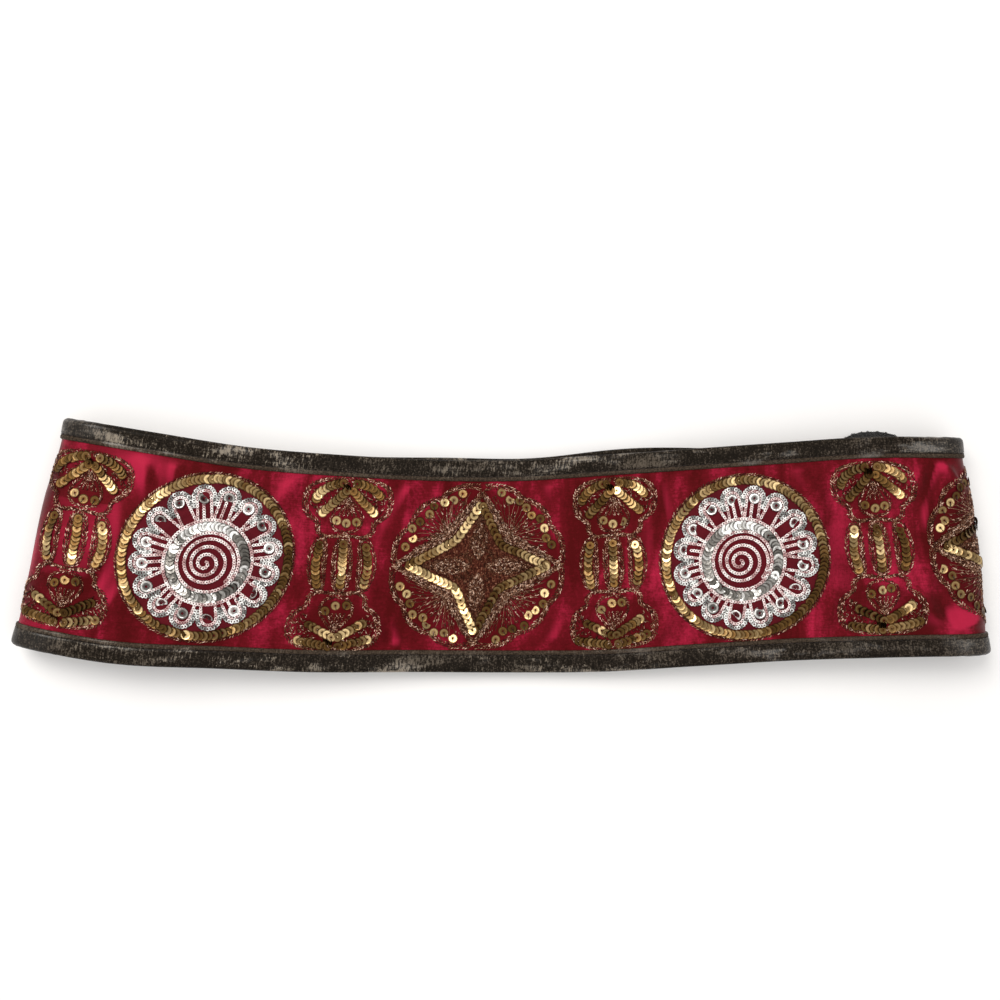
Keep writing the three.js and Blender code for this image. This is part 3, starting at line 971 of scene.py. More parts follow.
class BELT_OT_satin(bpy.types.Operator):
    """Makes the crimson satin, creased between its stitched motifs"""

    bl_idname = "belt.satin"
    bl_label = "Satin"

    def execute(self, context):
        step = context.scene.belt_sizes.cloth_step / MM
        s_rows = np.linspace(0, surface.length, int(surface.length / step) + 1)
        share = np.linspace(-1, 1, int(PANEL_WIDTH / step) + 1)
        s, v = flat_layout(s_rows, share)
        lift = panel_relief(s, v) + surface.swell(s, v)
        lift += 0.035 * ripple(s, v, 9, 2.5, 3) * (1 - 0.5 * surface.rests(s))
        outer = surface.point(s, v, WALL / 2 + lift)
        inner_share = np.linspace(-1, 1, 13)
        si, vi = flat_layout(s_rows, inner_share)
        inner = surface.point(si, vi, -WALL / 2 + surface.swell(si, vi) * 0.9)
        rows, wide, thin = len(s_rows), len(share), len(inner_share)
        face = grid_faces(rows, wide)
        back = grid_faces(rows, thin)[:, ::-1] + rows * wide
        i = np.arange(rows - 1)
        start = rows * wide
        low = np.stack([i * wide, (i + 1) * wide, start + (i + 1) * thin, start + i * thin], 1)
        top = np.stack([i * wide + wide - 1, start + i * thin + thin - 1,
                        start + (i + 1) * thin + thin - 1, (i + 1) * wide + wide - 1], 1)
        quads = np.concatenate([face, back, low, top])
        first = np.concatenate([np.arange(wide)[::-1], start + np.arange(thin)])
        last = (rows - 1) * wide + np.arange(wide)
        final = np.concatenate([last, start + (rows - 1) * thin + np.arange(thin)[::-1]])
        uv = np.stack([np.concatenate([s, si]), np.concatenate([v, vi])], 1) * MM
        # The satin's tone: darker within close stitching, the painted pools of shade and light, and painted
        # sheen and painted shade on the creases' slopes
        tone = np.concatenate([stitching_and_painted_pools(s, v) - 1.5 * crease_light(s, v), np.zeros(len(si))])
        piece = mesh_piece("satin_panel", np.concatenate([outer, inner]),
                           *corners(quads, first, final), uv, tone)
        dress(piece, finish_for("satin"), "satin")
        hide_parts("face_panel")
        return {"FINISHED"}


STITCH_LINE = 2.05


def binding_profile(depth):
    """The leather strip's section: across from the middle of its fold, height, tone and wrinkle"""
    half = HALF_STACK
    leg = depth - half
    # The tone marks the turned inner edge (near 1) and the painted shade round the stitching line and on the
    # hidden lip (from 0.2 to 0.6)
    outer = [(-leg - 0.05, 0.86, 1.0, 0.0), (-leg, 1.2, 1.0, 0.1), (-leg + 0.25, 1.6, 1.0, 0.4),
             (-leg + 0.8, 1.78, 1.0, 0.8), (-leg + 1.4, 1.74, 0.9, 0.7), (-leg + 1.8, 1.58, 0.6, 0.3),
             (-leg + STITCH_LINE, 1.50, 0.2, 0.2), (-leg + 2.3, 1.60, 0.0, 0.3), (-leg + 2.8, 1.84, 0.0, 0.8)]
    for k in range(1, 9):
        t = k / 9
        outer.append((-leg + 2.8 + t * (leg - 2.8), 1.84 + 0.16 * math.sin(t * math.pi / 2), 0.0, 1.0))
    for k in range(9):
        a = math.radians(90 - 22.5 * k)
        outer.append((half * math.cos(a), half * math.sin(a), 0.0, 1.0))
    for k in range(1, 6):
        outer.append((-leg * k / 6, -half, 0.0, 0.7))
    outer += [(-leg + 0.3, -1.9, 0.4, 0.2), (-leg, -1.5, 0.4, 0.0), (-leg, -1.1, 0.4, 0.0),
              (-leg / 2, -1.1, 0.0, 0.0), (half - 0.9, -1.1, 0.0, 0.0), (half - 0.9, 1.1, 0.0, 0.0),
              (-leg / 2, 1.1, 0.0, 0.0), (-leg + 0.6, 0.95, 0.0, 0.0)]
    return np.array(outer)


def folded(s):
    """1 round the belt's two folds, where the leather is stretched smooth, 0 elsewhere"""
    right = np.exp(-((s - 70) / 16) ** 2)
    left = np.exp(-((s - 465) / 17) ** 2)
    return np.clip(right + left, 0, 1)


class BELT_OT_bindings(bpy.types.Operator):
    """Makes the two leather bindings, their wrinkles and their rows of stitches"""

    bl_idname = "belt.bindings"
    bl_label = "Leather bindings"

    def execute(self, context):
        stitches = Batch()
        s_rows = np.linspace(0, surface.length, int(surface.length / 1.6) + 1)
        rows = len(s_rows)
        edge = surface.half_width(s_rows)
        for name, node, side, depth in (
                ("binding_waist_leather", "binding_waist", 1, WAIST_BINDING),
                ("binding_hip_leather", "binding_hip", -1, HIP_BINDING)):
            profile = binding_profile(depth)
            wide = len(profile)
            steps = np.hypot(*np.diff(profile[:, :2], axis=0).T)
            round_it = np.tile(np.concatenate([[0], np.cumsum(steps)]), rows)
            across, height, tone, wrinkle = np.tile(profile, (rows, 1)).T
            s = np.repeat(s_rows, wide)
            wave = ripple(s, round_it, 13, 2.2, 11 + side)
            pucker = ripple(s, round_it * 0.3, 6, 2.6, 31 + side)
            size = wrinkle * (1 - 0.4 * folded(s))
            lift = size * (0.07 * wave + 0.06 * pucker) - 0.07 * size
            across = np.repeat(edge - HALF_STACK, wide) + across
            v = side * (across + 0.12 * wave * wrinkle * (size < 0.9))
            points = surface.point(s, v, height + lift * np.sign(height))
            points[:, 2] = np.maximum(points[:, 2], 0.0)
            quads = grid_faces(rows, wide, closed=True)
            first, last = np.arange(wide), (rows - 1) * wide + np.arange(wide)
            if side > 0:
                first = first[::-1]
            else:
                quads = quads[:, ::-1]
                last = last[::-1]
            uv = np.stack([s, round_it + 20 * (side > 0)], 1) * MM
            piece = mesh_piece(name, points, *corners(quads, first, last), uv,
                               tone - folded(s) * (tone < 0.5))
            dress(piece, finish_for("leather"), "leather")
            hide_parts(node)
            path = np.stack([-s_rows, side * (edge - depth + STITCH_LINE)], 1)
            points, turn = evenly(path, 2.6)
            stitches.lay((0, 0), points, 0.80, turn, tone=seeded.uniform(0, 1, len(points)))
        stitches.build("binding_stitches", stroke_template(2.1, 0.42, 0.42),
                       finish_for("dark_thread"), "thread_dark")
        return {"FINISHED"}


def hump(s, start, end):
    """How far the tape stands over the edge along its width, as a share of its peak"""
    share = np.clip((s - start) / (end - start), 0, 1)
    return 0.12 + 0.88 * (1 - np.abs(2 * share - 1) ** 2.6) * (0.9 + 0.1 * np.sin(s * 1.7))


class BELT_OT_closure(bpy.types.Operator):
    """Makes the closure's two tapes: one of looped pile, one of small hooks"""

    bl_idname = "belt.closure"
    bl_label = "Closure tapes"

    def tape(self, name, layer, low, waist_reach, finish, node):
        """One tape's flat base, closed all round. Gives back where along the belt it lies"""
        start, end = (surface.along_at(x, layer) for x in TAPE_X)
        s_rows = np.linspace(start, end, 15)
        share = np.linspace(0, 1, 41)
        half = surface.half_width(s_rows)
        hip = -half + TAPE_INSET
        waist = half + waist_reach * (hump(s_rows, start, end) if waist_reach > 0 else 1)
        v = (hip[:, None] + (waist - hip)[:, None] * share[None, :]).ravel()
        s = np.repeat(s_rows, len(share))
        points = np.concatenate([surface.point(s, v, low), surface.point(s, v, low + TAPE_BASE)])
        rows, wide = len(s_rows), len(share)
        face = grid_faces(rows, wide)
        count = rows * wide
        rim = np.concatenate([np.arange(wide), np.arange(1, rows) * wide + wide - 1,
                              (rows - 1) * wide + np.arange(wide - 2, -1, -1),
                              np.arange(rows - 2, 0, -1) * wide])
        after = np.roll(rim, -1)
        sides = np.stack([rim, rim + count, after + count, after], 1)
        quads = np.concatenate([face + count, face[:, ::-1], sides])
        piece = mesh_piece(name, points, *corners(quads))
        dress(piece, finish, "tape")
        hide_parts(node)
        return start, end

    def fringe(self, start, end, foot):
        """Loops of the pile that stand up over the belt's waist edge, on both faces of the tape"""
        pile = Batch(pressed=False)
        count = 1150
        s = seeded.uniform(start, end, count)
        top = surface.half_width(s) + LOOP_TAPE_PEEK * hump(s, start, end)
        v = top - 3.6 * seeded.uniform(0, 1, count) ** 1.4 - 0.2
        near = seeded.uniform(0, 1, count) < 0.5
        height = np.where(near, -foot + 0.1, -foot - 0.55) - WALL / 2
        pile.lay((0, 0), np.stack([-s, v], 1), height, seeded.uniform(0, 6.28, count),
                 roll=np.where(near, 0.0, math.pi) + seeded.uniform(-0.9, 0.9, count),
                 size=seeded.uniform(0.8, 1.4, count))
        pile.build("loop_tape_edge_pile", arch_template(0.9, 0.2), finish_for("loop_pile"), "tape")

    def execute(self, context):
        foot = HALF_STACK + SEAM_GAP
        start, end = self.tape("loop_tape_base", "outer", -foot - TAPE_BASE, LOOP_TAPE_PEEK,
                               finish_for("loop_pile"), "loop_tape")
        pile = Batch(pressed=False)
        pitch = 1.15
        s, v = np.meshgrid(np.arange(start + 0.6, end, pitch), np.arange(-42, 50, pitch))
        s, v = s.ravel(), v.ravel()
        half = surface.half_width(s)
        inside = (v < half + LOOP_TAPE_PEEK * hump(s, start, end)) & (v > -half + TAPE_INSET + 0.6)
        s, v = s[inside], v[inside]
        shake = seeded.uniform(-0.35, 0.35, (2, len(s)))
        pile.lay((0, 0), np.stack([-s - shake[0], v + shake[1]], 1),
                 -foot - TAPE_BASE - WALL / 2 + seeded.uniform(-0.1, 0.05, len(s)),
                 seeded.uniform(0, 6.28, len(s)), roll=math.pi + seeded.uniform(-0.5, 0.5, len(s)),
                 size=seeded.uniform(0.8, 1.25, len(s)))
        pile.build("loop_tape_pile", arch_template(1.2, 0.26), finish_for("loop_pile"), "tape")
        self.fringe(start, end, foot)
        start, end = self.tape("hook_tape_base", "back", foot, -TAPE_INSET,
                               finish_for("hook_nylon"), "hook_tape")
        hooks = Batch(pressed=False)
        pitch = 1.9
        s, v = np.meshgrid(np.arange(start + 1, end - 0.6, pitch), np.arange(-41, 42, pitch))
        s, v = s.ravel(), v.ravel()
        inside = np.abs(v) < surface.half_width(s) - TAPE_INSET - 1
        hooks.lay((0, 0), np.stack([-s, v], 1)[inside], foot + TAPE_BASE - WALL / 2, size=0.85)
        hooks.build("hook_tape_hooks", arch_template(0.9, 0.25), finish_for("hook_nylon"), "tape")
        return {"FINISHED"}


class Embroidery:
    """The sequins, stitches and cords of a group of motifs, gathered by kind"""

    def __init__(self, stitch):
        self.stitch = stitch
        self.gold, self.silver, self.cups = Batch(), Batch(), Batch()
        self.pale, self.grey, self.bronze = Batch(), Batch(), Batch()
        self.strokes, self.holds = Batch(), Batch()
        self.fans = Tubes(3)

    def chain(self, batch, centre, path, height, closed=False, size=1.0, wide=1.0, tone=(0.3, 1.0)):
        """Chain stitches one after another along a path"""
        points, turn = evenly(path, self.stitch * size, closed)
        count = len(points)
        batch.lay(centre, points, height + seeded.uniform(-0.05, 0.05, count),
                  turn + seeded.uniform(-0.12, 0.12, count), tilt=0.12,
                  roll=seeded.uniform(-0.35, 0.35, count), size=size, wide=wide,
                  tone=tone[0] + (tone[1] - tone[0]) * seeded.beta(0.55, 0.55, count))

    def glitter(self, centre, path, height, closed=False, size=1.0):
        """A plaited line of metal thread: two rows of short stitches that slant together"""
        points, turn = evenly(path, self.stitch * 1.03 * size, closed)
        count = len(points)
        across = np.stack([-np.sin(turn), np.cos(turn)], 1)
        for side in (-1, 1):
            aside = side * 0.34 * size + seeded.normal(0, 0.09, count)
            self.bronze.lay(centre, points + across * aside[:, None],
                            height + seeded.uniform(-0.08, 0.08, count),
                            turn - side * 0.5 + seeded.normal(0, 0.22, count),
                            tilt=seeded.normal(0, 0.1, count), roll=seeded.uniform(-1, 1, count),
                            size=size * seeded.uniform(0.8, 1.15, count),
                            tone=seeded.beta(0.8, 0.95, count))

    def row(self, batch, centre, points, turn, height, tone, lean=0.22, size=1.0):
        """Sequins that overlap like scales along a line"""
        count = len(points)
        points = np.asarray(points) + seeded.normal(0, 0.09, (count, 2))
        batch.lay(centre, points, height + seeded.uniform(-0.04, 0.04, count), turn,
                  tilt=lean + seeded.normal(0, 0.08, count), roll=seeded.normal(0, 0.14, count),
                  size=size * seeded.uniform(0.97, 1.03, count),
                  tone=np.clip(tone + seeded.normal(0, 0.13, count), 0, 1))

    def single(self, centre, points, height, tone=(0.0, 1.0)):
        """Sequins on their own, each held by a dark thread from its hole to its rim"""
        count = len(points)
        turn = seeded.uniform(-2.2, -0.9, count)
        self.gold.lay(centre, points, height, turn, tilt=seeded.normal(0.05, 0.13, count),
                      roll=seeded.normal(0, 0.13, count), tone=seeded.uniform(*tone, count))
        reach = np.stack([np.cos(turn), np.sin(turn)], 1)
        self.holds.lay(centre, points + reach, height + 0.3, turn, tone=seeded.uniform(0, 1, count))

    def fill(self, centre, points, turn, height, tone):
        """Loose stitches of fine metal thread over a field"""
        count = len(points)
        self.strokes.lay(centre, points, height + seeded.uniform(-0.06, 0.16, count), turn,
                         tilt=seeded.normal(0, 0.08, count), roll=seeded.uniform(-1.5, 1.5, count),
                         size=seeded.uniform(0.7, 1.25, count),
                         tone=tone[0] + (tone[1] - tone[0]) * seeded.beta(0.6, 0.8, count))


def polar(radius, degrees):
    """(right, up) at a distance and an angle from a motif's centre"""
    a = np.radians(degrees)
    return np.stack([radius * np.cos(a), radius * np.sin(a)], -1)


PETALS = 16
PETAL_TURN = 360 / PETALS
PATCH_TOP = 0.75
PATCH_REACH = 35.4
RIM = (35.3, 35.0)
RING_GOLD = 33.0
RING_SILVER = 14.95
# The petals that hold a stem of chain stitch
STEMMED = (0, 3, 4, 7, 8, 10, 13)


def petal_path(middle, length_from, centre_at, spread, degrees, foot):
    """An upturned U: up one side of a petal, round its end and down the other"""
    end = arc((centre_at, 0), (spread, spread), -88, 88, 18)
    path = np.concatenate([[(length_from, -foot)], end, [(length_from, foot)]])
    a = math.radians(degrees)
    turned = np.stack([path[:, 0] * math.cos(a) - path[:, 1] * math.sin(a),
                       path[:, 0] * math.sin(a) + path[:, 1] * math.cos(a)], 1)
    return turned + middle


def patch_height(r, degrees):
    """Relief of the round patch: its petals are padded, its middle is a low dome"""
    phase = np.cos(np.radians((degrees - 11.25) * PETALS))
    petal = smoothstep((phase + 0.75) / 0.8) * smoothstep((r - 18.8) / 1.5)
    petal = petal * (1 - smoothstep((r - 28.6 - 1.6 * phase) / 1.2))
    rim = 1 - smoothstep((r - PATCH_REACH + 1.3) / 1.2)
    middle = 1 - smoothstep((r - 11.5) / 2.0)
    return 0.12 + (PATCH_TOP - 0.12) * rim + 0.34 * petal + 0.1 * middle


def make_patch(name, node, centre):
    """A round patch of maroon cloth, domed under its petals, closed underneath"""
    sectors = 168
    radii = np.concatenate([np.linspace(0.4, 18, 20), np.linspace(18.7, 33.5, 26),
                            [34.3, 34.9, PATCH_REACH]])
    angle = np.arange(sectors) * 360 / sectors
    r, a = (grid.ravel() for grid in np.meshgrid(radii, angle, indexing="ij"))
    spots = polar(r, a)
    height = patch_height(r, a)
    height += 0.03 * ripple(spots[:, 0], spots[:, 1], 5, 1.2, 2)
    s, v = centre[0] - spots[:, 0], centre[1] + spots[:, 1] * 0.99
    upper = surface.on_panel(s, v, height)
    rows = len(radii)
    rim = slice((rows - 1) * sectors, rows * sectors)
    lower = surface.on_panel(s[rim], v[rim], 0.03)
    hub = surface.on_panel([centre[0]] * 2, [centre[1]] * 2, [PATCH_TOP + 0.22, 0.03])
    faces = grid_faces(rows, sectors, closed=True)[:, ::-1]
    j = np.arange(sectors)
    k = (j + 1) % sectors
    last = (rows - 1) * sectors
    below = rows * sectors
    wall = np.stack([last + j, last + k, below + k, below + j], 1)[:, ::-1]
    top = below + sectors
    points = np.concatenate([upper, lower, hub])
    fans = np.concatenate([np.stack([np.full(sectors, top), j, k], 1),
                           np.stack([np.full(sectors, top + 1), below + k, below + j], 1)])
    flat = np.concatenate([spots, spots[rim], [(0, 0), (0, 0)]]) * MM
    piece = mesh_piece(name, points, *corners(np.concatenate([faces, wall]), *fans), flat)
    dress(piece, finish_for("patch"), "applique")
    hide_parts(node)


def embroider_medallion(work, centre, painted_side_shade, inner):
    """Gold rim, sixteen petals, silver ring and spiral, by formula round the middle"""
    work.glitter(centre, arc((0, 0), RIM, 0, 358.5, 240), 0.55, closed=True)
    count = 114
    angle = np.arange(count) * 360 / count
    # The gold ring's tones: painted glints in runs and singles, and painted shade on its right side
    patches = glints(count, 0.72, 3, 0.32, 1.0) + painted_side_shade * (np.cos(np.radians(angle + 10)) ** 3)
    patches += 0.17 + seeded.normal(0, 0.13, count)
    patches[seeded.integers(0, count, 7)] = 0.1
    work.row(work.gold, centre, polar(RING_GOLD, angle) * (1, 0.99), np.radians(angle + 90),
             PATCH_TOP + 0.32, patches)
    count = 53
    angle = np.arange(count) * 360 / count
    shine = 0.66 + seeded.normal(0, 0.26, count) - 0.85 * np.exp(-((angle - 88) / 36) ** 2)
    shine[int(count * 0.8)] = -0.1
    shine[seeded.integers(0, count, 4)] = 0.1
    work.row(work.silver, centre, polar(RING_SILVER, angle) + inner, np.radians(angle + 90),
             PATCH_TOP + 0.34, shine, size=1.06, lean=0.2)
    for k in range(PETALS):
        at = PETAL_TURN * (k + 0.5) + seeded.uniform(-1, 1)
        toward = float(polar(1.0, at) @ inner)
        foot = toward + math.sqrt(17.9 ** 2 - inner @ inner + toward ** 2) + 0.1
        scallop = petal_path((0.3, -0.1), 21.6, 25.5, 4.3, at, 3.9)
        work.chain(work.grey, centre, scallop, PATCH_TOP + 0.40, size=0.95, wide=2.2, tone=(0.15, 1.0))
        loop = petal_path((0.3, -0.1), foot, 25.3, 2.85, at, 2.85)
        work.chain(work.pale, centre, loop, PATCH_TOP + 0.5, wide=1.4)
        if k in STEMMED:
            stem = polar(np.array([foot, 23.6 + seeded.uniform(-0.8, 0.8)]), at)
            work.chain(work.pale, centre, stem, PATCH_TOP + 0.52, size=0.95, wide=1.6)
        cup = polar(25.2 + seeded.uniform(-0.9, 0.5), at + seeded.uniform(-1.5, 1.5))
        work.cups.lay(centre, [cup], PATCH_TOP + 0.62, seeded.uniform(0, 6.28),
                      tilt=seeded.normal(0, 0.22), roll=seeded.normal(0, 0.22),
                      size=seeded.uniform(0.92, 1.05), tone=seeded.uniform(-0.2, 0.45))
    for radius in (12.3, 17.6):
        ring = arc(inner, (radius, radius), 0, 357, 120)
        work.chain(work.pale, centre, ring, PATCH_TOP + 0.45, closed=True, size=1.05, wide=1.5525)
    turns = 3.4
    t = np.linspace(0.04, 1, 460)
    spiral = polar(0.4 + 10.6 * t, 100 - 360 * turns * t) + inner - np.outer(1 - t, (1.4, 0.5))
    work.chain(work.pale, centre, spiral, PATCH_TOP + 0.62, wide=1.6)


# The star's edge, from a tip to the next corner and so on: degrees and reach
STAR_EDGE = ((0, 30.1), (45, 13.0), (90, 26.6), (135, 15.0), (180, 30.0), (225, 12.9), (270, 28.2),
             (315, 13.2))
STAR_TIPS = STAR_EDGE[::2]
STAR_CORNERS = STAR_EDGE[1::2]
LOBE_SHAPE = (1, 0.945)
# How dull each side's sequins are painted by how the light falls on it: low values are painted highlights,
# high ones painted shade
STAR_PAINTED_SIDE_LIGHT = (0.85, 0.8, 0.1, 0.75, 0.25, 0.08, 0.85, 0.55)


def make_star_ground(centres):
    """Close dark stitching that fills each star, a thin raised sheet with the star's own edge"""
    degrees = np.arange(0, 360, 3.0)
    points, uv, faces = [], [], []
    shares = np.linspace(0.04, 1, 14)
    for centre in centres:
        reach = np.empty(len(degrees))
        for k, angle in enumerate(degrees):
            near = int(angle // 45)
            p, q = (polar(far, at) for at, far in (STAR_EDGE[near], STAR_EDGE[(near + 1) % 8]))
            way = polar(1.0, angle)
            edge = q - p
            reach[k] = (p[0] * edge[1] - p[1] * edge[0]) / (way[0] * edge[1] - way[1] * edge[0])
        spots = polar((shares[:, None] * reach[None, :]).ravel(), np.tile(degrees, len(shares)))
        height = 0.14 + 0.06 * ripple(spots[:, 0], spots[:, 1], 4, 1.1, 9)
        rim = np.repeat(shares, len(degrees)) == 1
        height[rim] = 0.02
        start = sum(len(a) for a in points)
        points.append(surface.on_panel(centre[0] - spots[:, 0], centre[1] + spots[:, 1], height))
        points.append(surface.on_panel(centre[0] - spots[rim, 0], centre[1] + spots[rim, 1], -0.1))
        uv += [spots * MM, spots[rim] * MM]
        faces.append(grid_faces(len(shares) + 1, len(degrees), closed=True)[:, ::-1] + start)
    quads = np.concatenate(faces)
    ring = np.arange(len(degrees))
    size = (len(shares) + 1) * len(degrees)
    ends = []
    for number in range(len(centres)):
        ends += [ring + number * size, ring[::-1] + (number + 1) * size - len(degrees)]
    piece = mesh_piece("star_grounds", np.concatenate(points), *corners(quads, *ends),
                       np.concatenate(uv))
    dress(piece, finish_for("star_ground"), "thread_bronze")


def star_sides(work, centre):
    """Sequins along the star's eight sides, plaited lines round them and loose stitches between"""
    points = np.array([polar(reach, degrees) for degrees, reach in STAR_EDGE])
    for k in range(8):
        a, b = points[k], points[(k + 1) % 8]
        run = b - a
        length = math.hypot(*run)
        run = run / length
        out = np.array([run[1], -run[0]])
        count = int(length / (1.95 if k in (3, 4, 7, 0) else 2.3))
        along = (np.arange(count) + 0.5) / count * length
        turn = math.atan2(run[1], run[0])
        work.row(work.gold, centre, a + run * along[:, None], turn, 0.75,
                 glints(count, STAR_PAINTED_SIDE_LIGHT[k], 1, 0.1, 0.5))
        tip, corner = (a, b) if k % 2 == 0 else (b, a)
        for away in (2.7, 3.8, 4.9):
            outline = np.stack([tip * (1 + (away + 1.5) / 30), (a + b) / 2 + out * away,
                                corner * (1 + away / 15)])
            work.glitter(centre, soften(outline, 3), 0.28)
        many = 290
        place = seeded.uniform(0.0, 1.0, many)
        from_tip = place if k % 2 == 0 else 1 - place
        depth = 2.0 + 5.0 * seeded.uniform(0, 1, many) ** 1.2 * (0.35 + 0.65 * from_tip)
        spots = a + run * (place * length)[:, None] + out * depth[:, None]
        work.fill(centre, spots, turn + seeded.normal(0, 0.7, many), 0.22, (0.0, 1.0))


def star_leaves(work, centre):
    """A plaited leaf in each of the star's arms, filled with loose stitches"""
    many = 230
    for degrees, reach in STAR_TIPS:
        toward = polar(1.0, degrees)
        aside = polar(1.0, degrees + 90)
        t = np.linspace(0, 1, 20)
        leaf = np.sin(np.pi * t) ** 0.8 * 3.0
        along = 3.5 + (reach * 0.68 - 3.5) * t
        for side in (-1, 1):
            path = toward * along[:, None] + aside * (leaf * side)[:, None]
            work.glitter(centre, path, 0.3, size=0.85)
        for low, high, tones in ((0.1, 1.0, (0.0, 0.6)), (0.15, 0.72, (0.1, 1.0))):
            far = seeded.uniform(low, high, many)
            if high < 1:
                wide = 2.9 * np.sin(np.pi * (far - low) / (high - low)) + 0.2
            else:
                wide = (1 - far) * 7.5 + 0.4
            spots = toward * (far * (reach - 4))[:, None]
            spots += aside * (seeded.uniform(-1, 1, many) * wide)[:, None]
            work.fill(centre, spots, math.radians(degrees) + seeded.normal(0, 0.8, many), 0.25, tones)


def quatrefoil(work, centre):
    """Four lobes round the star: wavy lines, single sequins and a fan of fine threads in each"""
    t = np.linspace(0, 1, 60)
    rays = 17
    for quarter in range(4):
        start = 90 * quarter
        angle = start + 1.5 + 87 * t
        wave = np.abs(np.sin(3 * np.pi * t)) ** 0.8 * 2.0 - 0.9
        cusp = 1.2 * np.abs(2 * t - 1) ** 12
        work.glitter(centre, polar(36.4 + wave + cusp, angle) * LOBE_SHAPE, 0.3)
        work.glitter(centre, polar(35.3 + wave, angle) * LOBE_SHAPE, 0.26)
        dent = 1.1 * np.cos(np.arange(9) * 2 * np.pi / 3 + 0.6)
        spots = polar(32.3 + dent, start + 16 + 7.4 * np.arange(9)) * (1, 0.97)
        work.single(centre, spots + seeded.normal(0, 0.35, (9, 2)), 0.3)
        corner = polar(STAR_CORNERS[quarter][1] + 4.5, STAR_CORNERS[quarter][0])
        for k in range(rays):
            goal = polar(31.5 + seeded.uniform(-2.5, 0.5), start + 7 + 76 * (k + 0.5) / rays)
            line = corner + (goal - corner) * np.linspace(0, 1, 9)[:, None]
            line += seeded.normal(0, 0.12, line.shape)
            work.fans.lay(centre, line, 0.14, 0.10, seeded.uniform(0.2, 0.8))
            far = seeded.uniform(0.0, 1.0, rays) ** 1.1
            spots = corner + (goal - corner) * far[:, None] + seeded.normal(0, 0.6, (rays, 2))
            turn = math.atan2(*(goal - corner)[::-1])
            work.fill(centre, spots, turn + seeded.normal(0, 0.3, rays), 0.2, (0.1, 1.0))


def embroider_star(work, centre):
    """A four-pointed star in a quatrefoil, its fields fanned with fine threads"""
    star_sides(work, centre)
    star_leaves(work, centre)
    quatrefoil(work, centre)


def soften(path, rounds=2):
    """Rounds the corners of a charted line"""
    path = np.asarray(path, float)
    for _ in range(rounds):
        near = path[:-1] * 0.75 + path[1:] * 0.25
        far = path[:-1] * 0.25 + path[1:] * 0.75
        middle = np.stack([near, far], 1).reshape(-1, 2)
        path = np.concatenate([path[:1], middle, path[-1:]])
    return path


# The chart of the upright motif, as (right, up) from its middle
# Bars of sequins: across, how far each bows, its lower and upper end, its count of sequins
BARS = ((-9.4, -1.3, -9.6, 9.0, 10), (0.0, 0.2, -9.4, 9.4, 10), (9.4, 1.6, -9.2, 8.4, 9))
BUD_EDGE = ((0.0, 36.2), (-8.5, 36.0), (-16.2, 33.6), (-18.3, 28.4), (-17.6, 21.6), (-13.2, 18.2),
            (-11.6, 17.6), (-11.8, 13.6), (-8.6, 11.2), (-3.5, 11.9), (0.0, 12.0))
BUD_HEART = ((0.0, 28.6), (-4.2, 24.2), (-7.2, 19.4), (-5.0, 14.4), (0.0, 13.6))
BUD_VEINS = (-3.6, -1.6, 0.3, 2.2, 4.0)
# Each end of the motif: its arcs, the two sides of its V with their counts, its three single sequins
BUDS = (
    (1, (arc((-0.8, 25.2), (13.4, 9.2), 100, 168, 9), arc((0.8, 25.4), (13.4, 9.0), 82, 24, 8)),
     (((-1.4, 31.0), (-10.6, 21.4), 8), ((1.4, 31.0), (11.0, 22.4), 8)),
     ((-4.5, 18.5), (-0.3, 16.7), (4.0, 17.7))),
    (-1, (np.linspace((-1.5, 34.6), (-14.0, 32.4), 8), np.linspace((2.5, 34.4), (14.2, 31.2), 7)),
     (((-0.6, 30.6), (-10.4, 25.2), 6), ((1.8, 30.4), (11.4, 24.2), 7)),
     ((-4.5, 19.4), (-0.3, 17.1), (4.0, 17.0))),
)


def column_bars(work, centre, tones):
    """Three bars of sequins, each between two bowed lines, with a second line where two bars meet"""
    for k, (x, bow, low, high, count) in enumerate(BARS):
        t = (np.arange(count) + 0.5) / count
        up = high + (low - high) * t
        line = np.stack([x + bow * np.sin(np.pi * t) - 0.04 * up, up], 1)
        work.row(work.gold, centre, line, -math.pi / 2, 0.4, glints(count, tones[k]))
        for side in (-1, 1):
            share = np.linspace(0, 1, 24)
            v = 11.2 - 22.4 * share
            edge = x + bow * np.sin(np.pi * share) + side * 3.0 * np.sin(np.pi * share) ** 0.4 - 0.04 * v
            path = np.stack([edge, v], 1)
            work.glitter(centre, path, 0.24)
            if (k, side) in ((0, 1), (1, -1), (1, 1), (2, -1)):
                work.glitter(centre, path + (side * 0.95, 0), 0.22)


